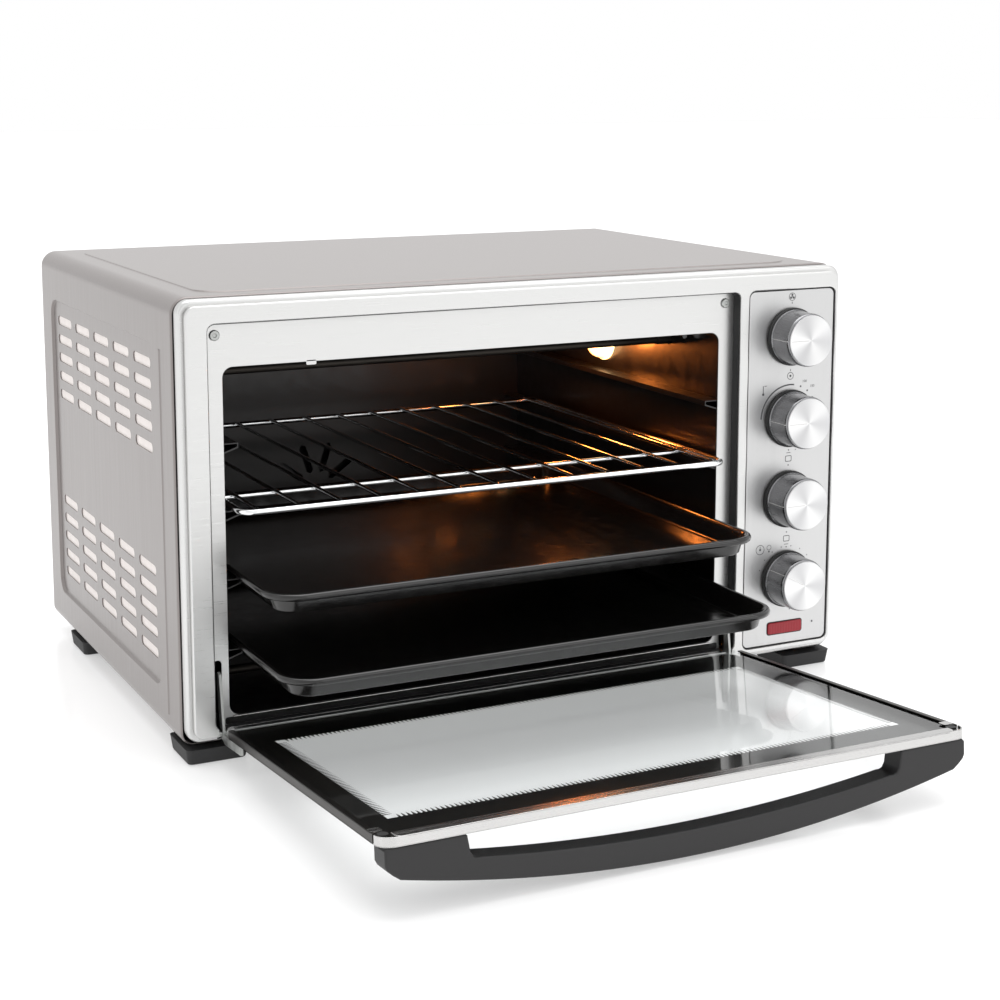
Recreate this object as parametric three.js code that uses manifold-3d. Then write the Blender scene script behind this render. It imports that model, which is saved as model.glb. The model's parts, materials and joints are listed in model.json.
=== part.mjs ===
// Countertop toaster oven with a drop-down glass door, a wire rack, two baking trays and four
// control knobs. Millimetres, +Z up, the front faces -Y.
// Pieces are laid out from one datum: x = 0 on the middle of the front bezel, y = 0 on its front
// plane and growing to the back, z = 0 on its bottom edge. The whole is then moved so that the
// origin lies under the middle of the assembled oven, on the surface it stands on, door open.
import * as THREE from "three";
import { mergeVertices } from "three/addons/utils/BufferGeometryUtils.js";
import Module from "manifold-3d";

const wasm = await Module();
wasm.setup();

// ---- driving dimensions ------------------------------------------------------------------
const GAP = 0.3; // between pieces that touch
const SHEET = 0.8; // sheet steel of the case, covers and cavity
const BEZEL = { width: 580, height: 332.4, depth: 15.4, corner: 10 };
const CASE = { half: 292.5, bottom: -4.4, top: 334.4, front: 15.7, back: 409.8, flange: 30 };
const REAR = { face: 422, inset: 8, bottom: 1, top: 329 };
const FOOT = { width: 50, length: 48, height: 11.8, taper: 6, front: 4, back: 308 };
const CAVITY = { centre: -40.5, half: 218, floor: 14, roof: 283, front: 12.4, back: 384.7 };
const OPENING = { half: 214.5, bottom: 16, top: 281, corner: 8 };
const RECESS = { half: 228.75, bottom: 9, top: 314.5, corner: 6, depth: 11 };
const PANEL = { left: 197.8, right: 282, bottom: 9, top: 313.7, corner: 5, face: 1.5 };
const KNOB = { x: 239.8, radius: 22.6, base: 24.4, length: 27.5, rows: [274.75, 205.2, 135.7, 66.1] };
const DOOR = { half: 225, hingeEdge: 5, end: 307.5, axisY: 2, axisZ: 6, glass: 4, openAngle: 85.5 };
const HANDLE = { half: 222, thick: 18.5, depth: 44, endDepth: 19, gripHalf: 162, wall: 18 };
const ARM = { offset: 223.4, thick: 2, reach: 45, bore: 2.4, pin: 2 };
const SUPPORT_TOPS = [66.9, 120.9, 173, 224];
const RUNNER = { reach: 15, drop: 9 };
const RACK = { half: 211, front: -11, length: 345, wire: 5, bars: 13, rod: 1.7 };
const TRAY = { half: 208, length: 345, height: 16, rim: 5.5, wall: 1 };
const TRAY_FRONTS = { baking_tray: [-71.3, 1], lower_tray: [-100.3, 0] };
const VENT = { length: 48, height: 8, columns: 5, rows: 5, pitchY: 59.8, pitchZ: 16.4, firstY: 101.5 };
const VENT_GROUPS = [211.4, 49.8];
const GLAND = { x: 235, z: 42 };
const FAN = { z: 96, radius: 52, y: 389.5, blades: 8, slots: 10 };
const HEATERS = {
  upper_front: [95, 265],
  upper_rear: [290, 265],
  lower_front: [70, 32],
  lower_rear: [290, 32],
};
const LAMP = { y: 208, z: 251, hole: 15 };
const LENS = { left: 222.6, right: 257.1, bottom: 18, top: 28 };
const CONTROLS = [
  ["convection_switch", 34, 30, 26],
  ["thermostat", 40, 40, 34],
  ["heater_switch", 34, 30, 26],
  ["timer", 46, 46, 42],
];

// ---- finishes ----------------------------------------------------------------------------
const finish = (color, roughness, metalness) =>
  new THREE.MeshStandardMaterial({ color, roughness, metalness });
const brushedSteel = finish(0xd8d6d3, 0.35, 1);
const caseSteel = finish(0xb3aaa5, 0.4, 1);
const zincSteel = finish(0xb9b9b4, 0.5, 1);
const blackEnamel = finish(0x18181a, 0.3, 0);
const chromeWire = finish(0xdfe1e3, 0.15, 1);
const blackPlastic = finish(0x2f2f31, 0.55, 0);
const clearGlass = finish(0x9aa4a2, 0.05, 0);
const redLens = finish(0xa33a48, 0.25, 0);
const ceramic = finish(0xe4dfd4, 0.7, 0);
const quartz = finish(0xb8b6b2, 0.4, 0);

// ---- shapes ------------------------------------------------------------------------------
const yzToLocal = new THREE.Matrix4().makeBasis(
  new THREE.Vector3(0, 1, 0),
  new THREE.Vector3(0, 0, 1),
  new THREE.Vector3(1, 0, 0),
);

function box(x0, x1, y0, y1, z0, z1) {
  const g = new THREE.BoxGeometry(x1 - x0, y1 - y0, z1 - z0);
  return g.translate((x0 + x1) / 2, (y0 + y1) / 2, (z0 + z1) / 2);
}

// An outline in X and Z, given its thickness along Y.
function alongY(shape, y0, y1, curveSegments = 3) {
  const g = new THREE.ExtrudeGeometry(shape, { depth: y1 - y0, bevelEnabled: false, curveSegments });
  return g.rotateX(Math.PI / 2).translate(0, y1, 0);
}

// An outline in X and Y, given its thickness along Z.
function alongZ(shape, z0, z1, curveSegments = 3) {
  const g = new THREE.ExtrudeGeometry(shape, { depth: z1 - z0, bevelEnabled: false, curveSegments });
  return g.translate(0, 0, z0);
}

// An outline in Y and Z, given its thickness along X.
function alongX(shape, x0, x1, curveSegments = 3) {
  const g = new THREE.ExtrudeGeometry(shape, { depth: x1 - x0, bevelEnabled: false, curveSegments });
  return g.translate(0, 0, x0).applyMatrix4(yzToLocal);
}

function roundRect(u0, u1, v0, v1, r) {
  const s = new THREE.Shape();
  s.moveTo(u0 + r, v0);
  s.lineTo(u1 - r, v0);
  s.absarc(u1 - r, v0 + r, r, -Math.PI / 2, 0);
  s.lineTo(u1, v1 - r);
  s.absarc(u1 - r, v1 - r, r, 0, Math.PI / 2);
  s.lineTo(u0 + r, v1);
  s.absarc(u0 + r, v1 - r, r, Math.PI / 2, Math.PI);
  s.lineTo(u0, v0 + r);
  s.absarc(u0 + r, v0 + r, r, Math.PI, 1.5 * Math.PI);
  return s;
}

function circle(u, v, r) {
  return new THREE.Shape().absarc(u, v, r, 0, 2 * Math.PI);
}

function polygon(points) {
  return new THREE.Shape(points.map(([u, v]) => new THREE.Vector2(u, v)));
}

// A slot with pinched ends, its long side along u.
function slot(u, v, length, height) {
  const [end, side, rise] = [length / 2, length / 2 - 3, height / 2];
  const corners = [[-end, 0], [-side, -rise], [side, -rise], [end, 0], [side, rise], [-side, rise]];
  return polygon(corners.map(([du, dv]) => [u + du, v + dv]));
}

function rod(axis, radius, from, length, a, b, sides = 12) {
  const g = new THREE.CylinderGeometry(radius, radius, length, sides);
  g.translate(0, from + length / 2, 0);
  if (axis === "x") return g.rotateZ(-Math.PI / 2).translate(0, a, b);
  if (axis === "y") return g.translate(a, 0, b);
  return g.rotateX(Math.PI / 2).translate(a, b, 0);
}

// A turned piece about a line along Y; the profile gives radius and y.
function turned(profile, x, z, sides = 22) {
  const points = profile.map(([r, y]) => new THREE.Vector2(r, y));
  return new THREE.LatheGeometry(points, sides).translate(x, 0, z);
}

// A block whose lower face is smaller than its upper one by an inset on every side.
function tapered(x0, x1, y0, y1, z0, z1, inset) {
  const g = box(x0, x1, y0, y1, z0, z1);
  const p = g.getAttribute("position");
  for (let i = 0; i < p.count; i++) {
    if (Math.abs(p.getZ(i) - z0) > 1e-3) continue;
    p.setX(i, p.getX(i) + (p.getX(i) < (x0 + x1) / 2 ? inset : -inset));
    p.setY(i, p.getY(i) + (p.getY(i) < (y0 + y1) / 2 ? inset : -inset));
  }
  return g;
}

// ---- cutting and joining -----------------------------------------------------------------
function solid(geometry) {
  const g = geometry.clone();
  for (const name of ["normal", "uv"]) g.deleteAttribute(name);
  const merged = mergeVertices(g, 1e-3);
  return new wasm.Manifold(
    new wasm.Mesh({
      numProp: 3,
      vertProperties: merged.getAttribute("position").array,
      triVerts: new Uint32Array(merged.index.array),
    }),
  );
}

function toGeometry(body) {
  const mesh = body.getMesh();
  const g = new THREE.BufferGeometry();
  g.setAttribute("position", new THREE.BufferAttribute(new Float32Array(mesh.vertProperties), 3));
  g.setIndex(new THREE.BufferAttribute(new Uint32Array(mesh.triVerts), 1));
  g.computeVertexNormals();
  return g;
}

const joined = (...parts) => parts.map(solid).reduce((a, b) => a.add(b));
const cut = (body, ...tools) => tools.map(solid).reduce((a, b) => a.subtract(b), body);

const oven = new THREE.Group();

function place(name, shape, material, parent = oven) {
  const geometry = shape instanceof THREE.BufferGeometry ? shape : toGeometry(shape);
  const mesh = new THREE.Mesh(geometry, material);
  mesh.name = name;
  parent.add(mesh);
  return mesh;
}

const across = (offset) => CAVITY.centre + offset;

// ---- housing -----------------------------------------------------------------------------
function caseOutline() {
  const { half, bottom, top, flange } = CASE;
  const [rt, rb] = [14, 10];
  const quarter = Math.PI / 2;
  const s = new THREE.Shape();
  s.moveTo(-half + flange, bottom);
  s.lineTo(-half + rb, bottom);
  s.absarc(-half + rb, bottom + rb, rb, -quarter, -2 * quarter, true);
  s.absarc(-half + rt, top - rt, rt, 2 * quarter, quarter, true);
  s.absarc(half - rt, top - rt, rt, quarter, 0, true);
  s.absarc(half - rb, bottom + rb, rb, 0, -quarter, true);
  s.lineTo(half - flange, bottom);
  s.lineTo(half - flange, bottom + SHEET);
  s.absarc(half - rb, bottom + rb, rb - SHEET, -quarter, 0, false);
  s.absarc(half - rt, top - rt, rt - SHEET, 0, quarter, false);
  s.absarc(-half + rt, top - rt, rt - SHEET, quarter, 2 * quarter, false);
  s.absarc(-half + rb, bottom + rb, rb - SHEET, -2 * quarter, -quarter, false);
  s.lineTo(-half + flange, bottom + SHEET);
  return s;
}

function sideVents() {
  const slots = [];
  for (const firstZ of VENT_GROUPS)
    for (let row = 0; row < VENT.rows; row++)
      for (let column = 0; column < VENT.columns; column++) {
        const y = VENT.firstY + column * VENT.pitchY;
        const z = firstZ + row * VENT.pitchZ;
        const outline = slot(y, z, VENT.length, VENT.height);
        slots.push(alongX(outline, -CASE.half - 5, CASE.half + 5, 1));
      }
  return slots;
}

place("outer_case", cut(solid(alongY(caseOutline(), CASE.front, CASE.back)), ...sideVents()), caseSteel);

function rearCover() {
  const reach = CASE.half - 10;
  const { face, inset, bottom, top } = REAR;
  const start = CASE.back + GAP;
  const edge = CASE.half - 1;
  const flange = box(-edge, edge, start, start + SHEET, CASE.bottom + 1, CASE.top - 4);
  const pan = (shrink, from, to) =>
    tapered(-reach + shrink, reach - shrink, bottom + shrink, top - shrink, -to, -from, inset)
      .rotateX(Math.PI / 2);
  const hollow = solid(pan(SHEET, start - 1, face - SHEET));
  const body = joined(flange, pan(0, start, face)).subtract(hollow);
  const vents = [];
  for (let row = 0; row < 4; row++)
    for (let column = 0; column < 6; column++)
      vents.push(alongY(slot(-200 + column * 62, 225 + row * 18, 44, 7), 400, 430, 1));
  return cut(body, ...vents, rod("y", 8.6, 415, 12, GLAND.x, GLAND.z));
}

place("rear_cover", rearCover(), zincSteel);
place(
  "cord_gland",
  joined(rod("y", 8, 406, 16.5, GLAND.x, GLAND.z), rod("y", 12, REAR.face + GAP, 2.7, GLAND.x, GLAND.z)),
  blackPlastic,
);

function basePlate() {
  const z = CASE.bottom + SHEET + GAP;
  const plate = solid(box(-280, 280, 17, 408, z, z + SHEET));
  const vents = [];
  for (let row = 0; row < 2; row++)
    for (let column = 0; column < 4; column++)
      vents.push(alongZ(slot(-180 + column * 110, 150 + row * 120, 60, 8), z - 2, z + 4, 1));
  return cut(plate, ...vents);
}

place("base_plate", basePlate(), zincSteel);

for (const [side, sign] of [["left", -1], ["right", 1]])
  for (const [end, y] of [["front", FOOT.front], ["back", FOOT.back]]) {
    const outer = CASE.half - 1;
    const [x0, x1] = sign < 0 ? [-outer, -outer + FOOT.width] : [outer - FOOT.width, outer];
    const top = CASE.bottom - GAP;
    const foot = tapered(x0, x1, y, y + FOOT.length, top - FOOT.height, top, FOOT.taper);
    place("foot_" + end + "_" + side, foot, blackPlastic);
  }

function frontBezel() {
  const half = BEZEL.width / 2;
  const face = roundRect(-half, half, 0, BEZEL.height, BEZEL.corner);
  const recess = [across(-RECESS.half), across(RECESS.half), RECESS.bottom, RECESS.top];
  face.holes.push(roundRect(...recess, RECESS.corner));
  face.holes.push(
    roundRect(PANEL.left - 3, PANEL.right + 3, PANEL.bottom - 3, PANEL.top + 3, PANEL.corner + 2),
  );
  const notches = [-1, 1].map((side) => {
    const x = across(side * ARM.offset);
    return box(x - 3, x + 3, -1, BEZEL.depth + 1, 1.5, RECESS.bottom + 3);
  });
  const bores = [-1, 1].map((side) => {
    const x = across(side * ARM.offset);
    return rod("x", ARM.pin + GAP, x - 6.5, 13, DOOR.axisY, DOOR.axisZ);
  });
  const skin = 1.5;
  const [inLeft, inTop] = [-half + skin, BEZEL.height - skin];
  const behind = [skin, BEZEL.depth + 1];
  const hollows = [
    box(inLeft, recess[0] - skin, ...behind, 14, inTop),
    box(inLeft, half - skin, ...behind, PANEL.top + 3 + skin, inTop),
  ];
  return cut(solid(alongY(face, 0, BEZEL.depth)), ...notches, ...bores, ...hollows);
}

place("front_bezel", frontBezel(), brushedSteel);

for (const [side, sign] of [["left", -1], ["right", 1]]) {
  const x = across(sign * ARM.offset);
  place("hinge_pin_" + side, rod("x", ARM.pin, x - 6, 12, DOOR.axisY, DOOR.axisZ), zincSteel);
  const screw = rod("y", 4, 9.5, 1.2, across(sign * 220), 305, 10);
  place("frame_screw_" + side, screw, zincSteel);
}

// ---- cavity ------------------------------------------------------------------------------
function cavityFrontFrame() {
  const inset = GAP;
  const plate = roundRect(
    across(-RECESS.half) + inset, across(RECESS.half) - inset,
    RECESS.bottom + inset, RECESS.top - inset, RECESS.corner,
  );
  plate.holes.push(
    roundRect(across(-OPENING.half), across(OPENING.half), OPENING.bottom, OPENING.top, OPENING.corner),
  );
  const slots = [-1, 1].map((side) => {
    const x = across(side * ARM.offset);
    return alongY(roundRect(x - 3, x + 3, 0, 60, 2.9), 5, 15);
  });
  return cut(solid(alongY(plate, RECESS.depth, RECESS.depth + SHEET)), ...slots);
}

place("cavity_front_frame", cavityFrontFrame(), brushedSteel);

const heaterHoles = Object.values(HEATERS).map(([y, z]) => rod("x", 5.4, -300, 600, y, z));

// A side wall is one sheet with a pressed runner under each rack position.
function cavityWall(sign) {
  const inner = sign * CAVITY.half;
  const bottomZ = CAVITY.floor + GAP;
  const topZ = CAVITY.roof - GAP;
  const face = [[0, bottomZ]];
  const back = [[-SHEET, bottomZ]];
  for (const top of SUPPORT_TOPS) {
    face.push([0, top - RUNNER.drop], [RUNNER.reach, top - 4], [RUNNER.reach, top], [0, top]);
    back.push(
      [-SHEET, top - RUNNER.drop + 0.9], [RUNNER.reach - SHEET, top - 3.1],
      [RUNNER.reach - SHEET, top - SHEET], [-SHEET, top - SHEET],
    );
  }
  face.push([0, topZ]);
  back.push([-SHEET, topZ]);
  const outline = [...face, ...back.reverse()].map(([u, z]) => [across(inner - sign * u), z]);
  return solid(alongY(polygon(sign < 0 ? outline : outline.reverse()), CAVITY.front, CAVITY.back));
}

place("cavity_left_wall", cut(cavityWall(-1), ...heaterHoles), blackEnamel);
place(
  "cavity_right_wall",
  cut(cavityWall(1), ...heaterHoles, rod("x", LAMP.hole, 150, 50, LAMP.y, LAMP.z)),
  blackEnamel,
);

const roofZ = CAVITY.roof;
const wallOut = CAVITY.half + SHEET;
const liner = (z0, z1) =>
  box(across(-wallOut), across(wallOut), CAVITY.front, CAVITY.back, z0, z1);
place("cavity_roof", liner(roofZ, roofZ + SHEET), blackEnamel);
place("cavity_floor", liner(CAVITY.floor - SHEET, CAVITY.floor), blackEnamel);

function cavityRearWall() {
  const y = CAVITY.back + GAP;
  const plate = box(across(-wallOut), across(wallOut), y, y + SHEET, CAVITY.floor, roofZ);
  const grille = [];
  for (let i = 0; i < FAN.slots; i++) {
    const hole = alongY(slot(31, 0, 30, 7), y - 2, y + 4, 1);
    grille.push(hole.rotateY((2 * Math.PI * i) / FAN.slots).translate(across(0), 0, FAN.z));
  }
  return cut(solid(plate), ...grille);
}

place("cavity_rear_wall", cavityRearWall(), blackEnamel);

for (const [name, [y, z]] of Object.entries(HEATERS))
  place(name + "_heater", rod("x", 4.2, across(-226), 452, y, z, 10), quartz);

// The lamp sits behind the right wall, under a glass dome that stands into the cavity.
function lampLens() {
  const face = across(CAVITY.half) - GAP;
  const outer = [[0, 0], [8, 1.2], [14, 5], [17, 10], [19.5, 13], [19.5, 15]];
  const inner = [[14.4, 15], [14.4, 10.5], [12, 6.8], [7, 3.6], [0, 2.4]];
  const g = turned([...outer, ...inner], 0, 0, 20).rotateZ(-Math.PI / 2);
  return g.translate(face - 15, LAMP.y, LAMP.z);
}

place("lamp_lens", lampLens(), clearGlass);
const lampX = across(CAVITY.half) - 8;
place("lamp_bulb", rod("x", 7, lampX, 26, LAMP.y, LAMP.z, 14), clearGlass);
place("lamp_socket", rod("x", 12, lampX + 26.3, 16, LAMP.y, LAMP.z, 16), ceramic);

// ---- controls ----------------------------------------------------------------------------
function controlPanel() {
  const { left, right, bottom, top, corner, face } = PANEL;
  const plate = roundRect(left, right, bottom, top, corner);
  for (const z of KNOB.rows) plate.holes.push(circle(KNOB.x, z, 5));
  plate.holes.push(roundRect(LENS.left - GAP, LENS.right + GAP, LENS.bottom - GAP, LENS.top + GAP, 2));
  const rim = roundRect(left, right, bottom, top, corner);
  rim.holes.push(roundRect(left + SHEET, right - SHEET, bottom + SHEET, top - SHEET, corner - 1));
  return joined(alongY(plate, face, face + 1.5, 5), alongY(rim, face + 1, face + 11));
}

place("control_panel", controlPanel(), brushedSteel);
const lensOutline = roundRect(LENS.left, LENS.right, LENS.bottom, LENS.top, 2);
place("indicator_lens", alongY(lensOutline, 0.3, 4), redLens);
const holder = box(LENS.left + 2, LENS.right - 2, 4.3, 16, LENS.bottom + 1, LENS.top - 1);
place("indicator_holder", holder, blackPlastic);

const knobGap = 0.8; // between the panel and the underside of a knob
const shaftEnd = -16;

// A switch body behind the panel, with the spindle that its knob sits on.
function control(z, width, height, depth) {
  const body = box(KNOB.x - width / 2, KNOB.x + width / 2, 4, 4 + depth, z - height / 2, z + height / 2);
  return joined(body, rod("y", 3, shaftEnd, 5 - shaftEnd, KNOB.x, z));
}

CONTROLS.forEach(([name, width, height, depth], i) =>
  place(name, control(KNOB.rows[i], width, height, depth), zincSteel),
);

function knobBody() {
  const back = PANEL.face - knobGap;
  const front = -KNOB.length + 1.6;
  const profile = [
    [0, shaftEnd - 0.6], [0, front], [KNOB.radius - 1.5, front], [KNOB.radius, front + 1.5],
    [KNOB.radius + 0.6, back - 4.2], [KNOB.base, back - 3.4], [KNOB.base, back], [3.3, back],
    [3.3, shaftEnd - 0.6], [0, shaftEnd - 0.6],
  ];
  return turned(profile, 0, 0, 24);
}

function knobCap() {
  const back = -KNOB.length + 1.3;
  const profile = [[0, back - 1.3], [19.6, back - 1.3], [20.3, back - 0.5], [19.6, back], [0, back]];
  return turned(profile, 0, 0, 24);
}

["convection", "thermostat", "heater", "timer"].forEach((name, i) => {
  const knob = new THREE.Group();
  knob.position.set(KNOB.x, 0, KNOB.rows[i]);
  oven.add(knob);
  place(name + "_knob", knobBody(), blackPlastic, knob);
  place(name + "_knob_cap", knobCap(), brushedSteel, knob);
});

function heatShield() {
  const x = across(CAVITY.half) + 10;
  const plate = box(x, x + SHEET, 20, 380, 8, 300);
  return cut(solid(plate), rod("x", 14, x - 5, 12, LAMP.y, LAMP.z));
}

place("heat_shield", heatShield(), zincSteel);
place("thermostat_probe", rod("y", 2.3, 60, 110, across(CAVITY.half) - 6, 272, 8), chromeWire);
place("terminal_block", box(225, 262, 340, 362, 3, 22), ceramic);

// ---- convection fan ----------------------------------------------------------------------
function fanImpeller() {
  const blades = [];
  for (let i = 0; i < FAN.blades; i++) {
    const blade = box(8, FAN.radius, FAN.y + 1, FAN.y + 10, -0.7, 0.7);
    blades.push(blade.rotateY((2 * Math.PI * i) / FAN.blades).translate(across(0), 0, FAN.z));
  }
  const hub = rod("y", 9, FAN.y, 11, across(0), FAN.z, 16);
  const disc = rod("y", FAN.radius - 4, FAN.y + 9, 1.6, across(0), FAN.z, 24);
  return cut(joined(hub, disc, ...blades), rod("y", 2.6, FAN.y + 4, 10, across(0), FAN.z, 10));
}

place("fan_impeller", fanImpeller(), zincSteel);
place(
  "fan_motor",
  joined(rod("y", 27, 403.5, 14, across(0), FAN.z, 20), rod("y", 2.2, FAN.y + 6, 10, across(0), FAN.z, 10)),
  zincSteel,
);

// ---- door --------------------------------------------------------------------------------
// The door is drawn shut: x across, z up from the hinge axis and y outward as minus. Its group is
// then swung down about the axis.
const door = new THREE.Group();
door.position.set(CAVITY.centre, DOOR.axisY, DOOR.axisZ);
door.rotation.x = THREE.MathUtils.degToRad(DOOR.openAngle);
oven.add(door);

const glassBack = 6;
const glassFront = glassBack - DOOR.glass;

function doorGlass() {
  const outline = roundRect(-DOOR.half + 1.3, DOOR.half - 1.3, DOOR.hingeEdge, DOOR.end - 3.5, 8);
  return alongY(outline, glassFront, glassBack);
}

// A U-shaped edge trim: a rounded outline with room for the glass cut out of its middle.
function topTrim() {
  const outline = roundRect(-DOOR.half, DOOR.half, DOOR.end - 30, DOOR.end, 11);
  const slab = alongY(
    roundRect(-DOOR.half + 1, DOOR.half - 1, 0, DOOR.end - 3.2, 8.3),
    glassFront - GAP, glassBack + GAP,
  );
  const below = box(-300, 300, -20, 20, 0, DOOR.end - 12.5);
  return cut(solid(alongY(outline, glassFront - 1.3, glassBack + 1.3)), slab, below);
}

function sideTrim(sign) {
  const [x0, x1] = [DOOR.half - 6, DOOR.half].map((x) => sign * x).sort((a, b) => a - b);
  const outer = box(x0, x1, glassFront - 1.3, glassBack + 1.3, 18.6, DOOR.end - 12.8);
  const inner = sign * (DOOR.half - 1);
  const [s0, s1] = [inner, inner - sign * 20].sort((a, b) => a - b);
  return cut(solid(outer), box(s0, s1, glassFront - GAP, glassBack + GAP, 0, DOOR.end));
}

// The handle is a bow: both faces swell away from the door, the outer one more.
function handleOutline() {
  const { half, depth, endDepth, gripHalf, wall } = HANDLE;
  const steps = 12;
  const outer = [[-half, -12]];
  for (let i = 0; i <= steps; i++) {
    const x = -half + 9 + ((2 * half - 18) * i) / steps;
    const share = (x / half) ** 2;
    outer.push([x, -(depth - (depth - endDepth) * share)]);
  }
  outer.push([half, -12], [half, 0], [gripHalf + 2, 0]);
  const inner = [];
  for (let i = 0; i <= 8; i++) {
    const x = gripHalf - (2 * gripHalf * i) / 8;
    const share = (x / gripHalf) ** 2;
    inner.push([x, -(depth - wall - 10.5 * share)]);
  }
  return polygon([...outer, ...inner, [-gripHalf - 2, 0], [-half, 0]]);
}

function doorHandle() {
  const top = DOOR.end - 1;
  return alongZ(handleOutline(), top - HANDLE.thick, top).translate(0, glassFront - 1.6, 0);
}

function bottomRail() {
  const reach = ARM.offset - ARM.thick;
  const web = box(-reach, reach, glassFront - 2.5, glassFront - GAP, 4.6, 18);
  const lip = box(-reach, reach, glassFront - 7, glassFront - 1.5, 16, 18);
  return joined(web, lip);
}

// A hinge arm: a lug that lies against the door, the pivot eye, and a tail that reaches back
// through the slot in the cavity frame and stops the door when it is open.
function hingeArm(sign) {
  const outline = polygon([
    [-3.4, -2.2], [-1.6, -3.8], [14, -3.8], [ARM.reach, -6.5], [ARM.reach + 1.5, -3],
    [ARM.reach, 0.5], [8, 3.6], [0.3, 4.4], [0.3, 44], [-6, 44], [-6.5, 8], [-3.8, 1.6],
  ]);
  outline.holes.push(circle(0, 0, ARM.bore));
  const x = sign * ARM.offset;
  return alongX(outline, x - ARM.thick / 2, x + ARM.thick / 2, 6);
}

place("door_glass", doorGlass(), clearGlass, door);
place("door_top_trim", topTrim(), brushedSteel, door);
place("door_handle", doorHandle(), blackPlastic, door);
place("door_bottom_rail", bottomRail(), zincSteel, door);
for (const [side, sign] of [["left", -1], ["right", 1]]) {
  place("door_side_trim_" + side, sideTrim(sign), brushedSteel, door);
  place("hinge_arm_" + side, hingeArm(sign), zincSteel, door);
}

// ---- rack and trays ----------------------------------------------------------------------
function wireRack() {
  const { half, length, wire, bars, rod: rodRadius } = RACK;
  const outline = roundRect(-half, half, 0, length, 12);
  outline.holes.push(roundRect(-half + wire, half - wire, wire, length - wire, 8));
  const frame = alongZ(outline, 0, wire);
  const inner = 2 * (half - 14);
  const rods = [];
  for (let i = 0; i < bars; i++) {
    const x = -half + 14 + (inner * i) / (bars - 1);
    rods.push(rod("y", rodRadius, 1.5, length - 3, x, wire - 0.6, 6));
  }
  const brace = box(-half + 2, half - 2, 58, 61.5, 0.8, wire - 1);
  return joined(frame, brace, ...rods);
}

function tray(half, length, height, rim, wall) {
  const lip = roundRect(-half, half, 0, length, 14);
  lip.holes.push(roundRect(-half + 5, half - 5, 5, length - 5, 10));
  const pan = solid(tapered(-half + 4, half - 4, 4, length - 4, 0, height - 1, 6));
  const hollow = tapered(-half + 5.2, half - 5.2, 5.2, length - 5.2, wall, height, 6);
  return pan.subtract(solid(hollow)).add(solid(alongZ(lip, height - rim, height)));
}

const rack = new THREE.Group();
rack.position.set(CAVITY.centre, RACK.front - RACK.wire / 2, SUPPORT_TOPS[2] + GAP);
oven.add(rack);
place("wire_rack", wireRack(), chromeWire, rack);

for (const [name, [front, level]] of Object.entries(TRAY_FRONTS)) {
  const group = new THREE.Group();
  group.position.set(CAVITY.centre, front, SUPPORT_TOPS[level] + GAP - TRAY.height + TRAY.rim);
  oven.add(group);
  place(name, tray(TRAY.half, TRAY.length, TRAY.height, TRAY.rim, TRAY.wall), blackEnamel, group);
}

// ---- origin ------------------------------------------------------------------------------
oven.updateMatrixWorld(true);
const extent = new THREE.Box3().setFromObject(oven, true);
const group = new THREE.Group();
oven.position.set(0, -(extent.min.y + extent.max.y) / 2, -extent.min.z);
group.add(oven);

export default group;
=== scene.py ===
# Countertop toaster oven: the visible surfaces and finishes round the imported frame.
# Lengths are written in millimetres from one datum: x = 0 on the middle of the front bezel, y = 0 on
# its front plane and growing to the back, z = 0 on its bottom edge. Matrices take them to metres.
import bmesh
import bpy
import json
import math
from mathutils import Matrix, Vector


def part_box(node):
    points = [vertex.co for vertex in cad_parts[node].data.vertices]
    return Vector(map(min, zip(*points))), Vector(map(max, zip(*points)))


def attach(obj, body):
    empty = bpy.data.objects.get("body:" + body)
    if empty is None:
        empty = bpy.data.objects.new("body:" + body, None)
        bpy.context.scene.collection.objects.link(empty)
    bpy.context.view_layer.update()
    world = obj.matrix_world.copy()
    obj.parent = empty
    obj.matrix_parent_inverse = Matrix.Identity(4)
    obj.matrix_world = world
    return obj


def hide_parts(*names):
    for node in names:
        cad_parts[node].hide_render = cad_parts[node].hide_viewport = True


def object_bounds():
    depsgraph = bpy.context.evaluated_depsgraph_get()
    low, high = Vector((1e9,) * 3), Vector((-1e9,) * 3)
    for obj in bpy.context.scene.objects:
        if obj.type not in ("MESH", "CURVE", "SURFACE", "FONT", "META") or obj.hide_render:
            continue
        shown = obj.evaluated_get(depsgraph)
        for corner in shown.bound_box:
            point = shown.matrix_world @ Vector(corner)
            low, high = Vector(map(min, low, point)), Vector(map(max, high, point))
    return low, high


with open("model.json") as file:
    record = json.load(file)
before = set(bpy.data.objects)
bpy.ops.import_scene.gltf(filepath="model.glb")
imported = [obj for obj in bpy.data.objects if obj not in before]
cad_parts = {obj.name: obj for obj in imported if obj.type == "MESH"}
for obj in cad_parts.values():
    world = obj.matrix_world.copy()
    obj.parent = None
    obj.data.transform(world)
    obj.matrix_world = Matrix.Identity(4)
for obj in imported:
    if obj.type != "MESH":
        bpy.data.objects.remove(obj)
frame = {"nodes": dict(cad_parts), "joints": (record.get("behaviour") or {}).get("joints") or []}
cad_low, cad_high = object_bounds()

MM = 0.001
JOINTS = {joint["name"]: joint for joint in frame["joints"]}


# ---- frame of reference ------------------------------------------------------------------
bezel_low, bezel_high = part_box("front_bezel")
datum = Vector(((bezel_low.x + bezel_high.x) / 2, bezel_low.y, bezel_low.z))
DATUM = Matrix.Translation(datum) @ Matrix.Scale(MM, 4)


def span(node):
    """A CAD node's lowest and highest corner in millimetres from the datum."""
    low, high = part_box(node)
    return (low - datum) / MM, (high - datum) / MM


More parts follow.
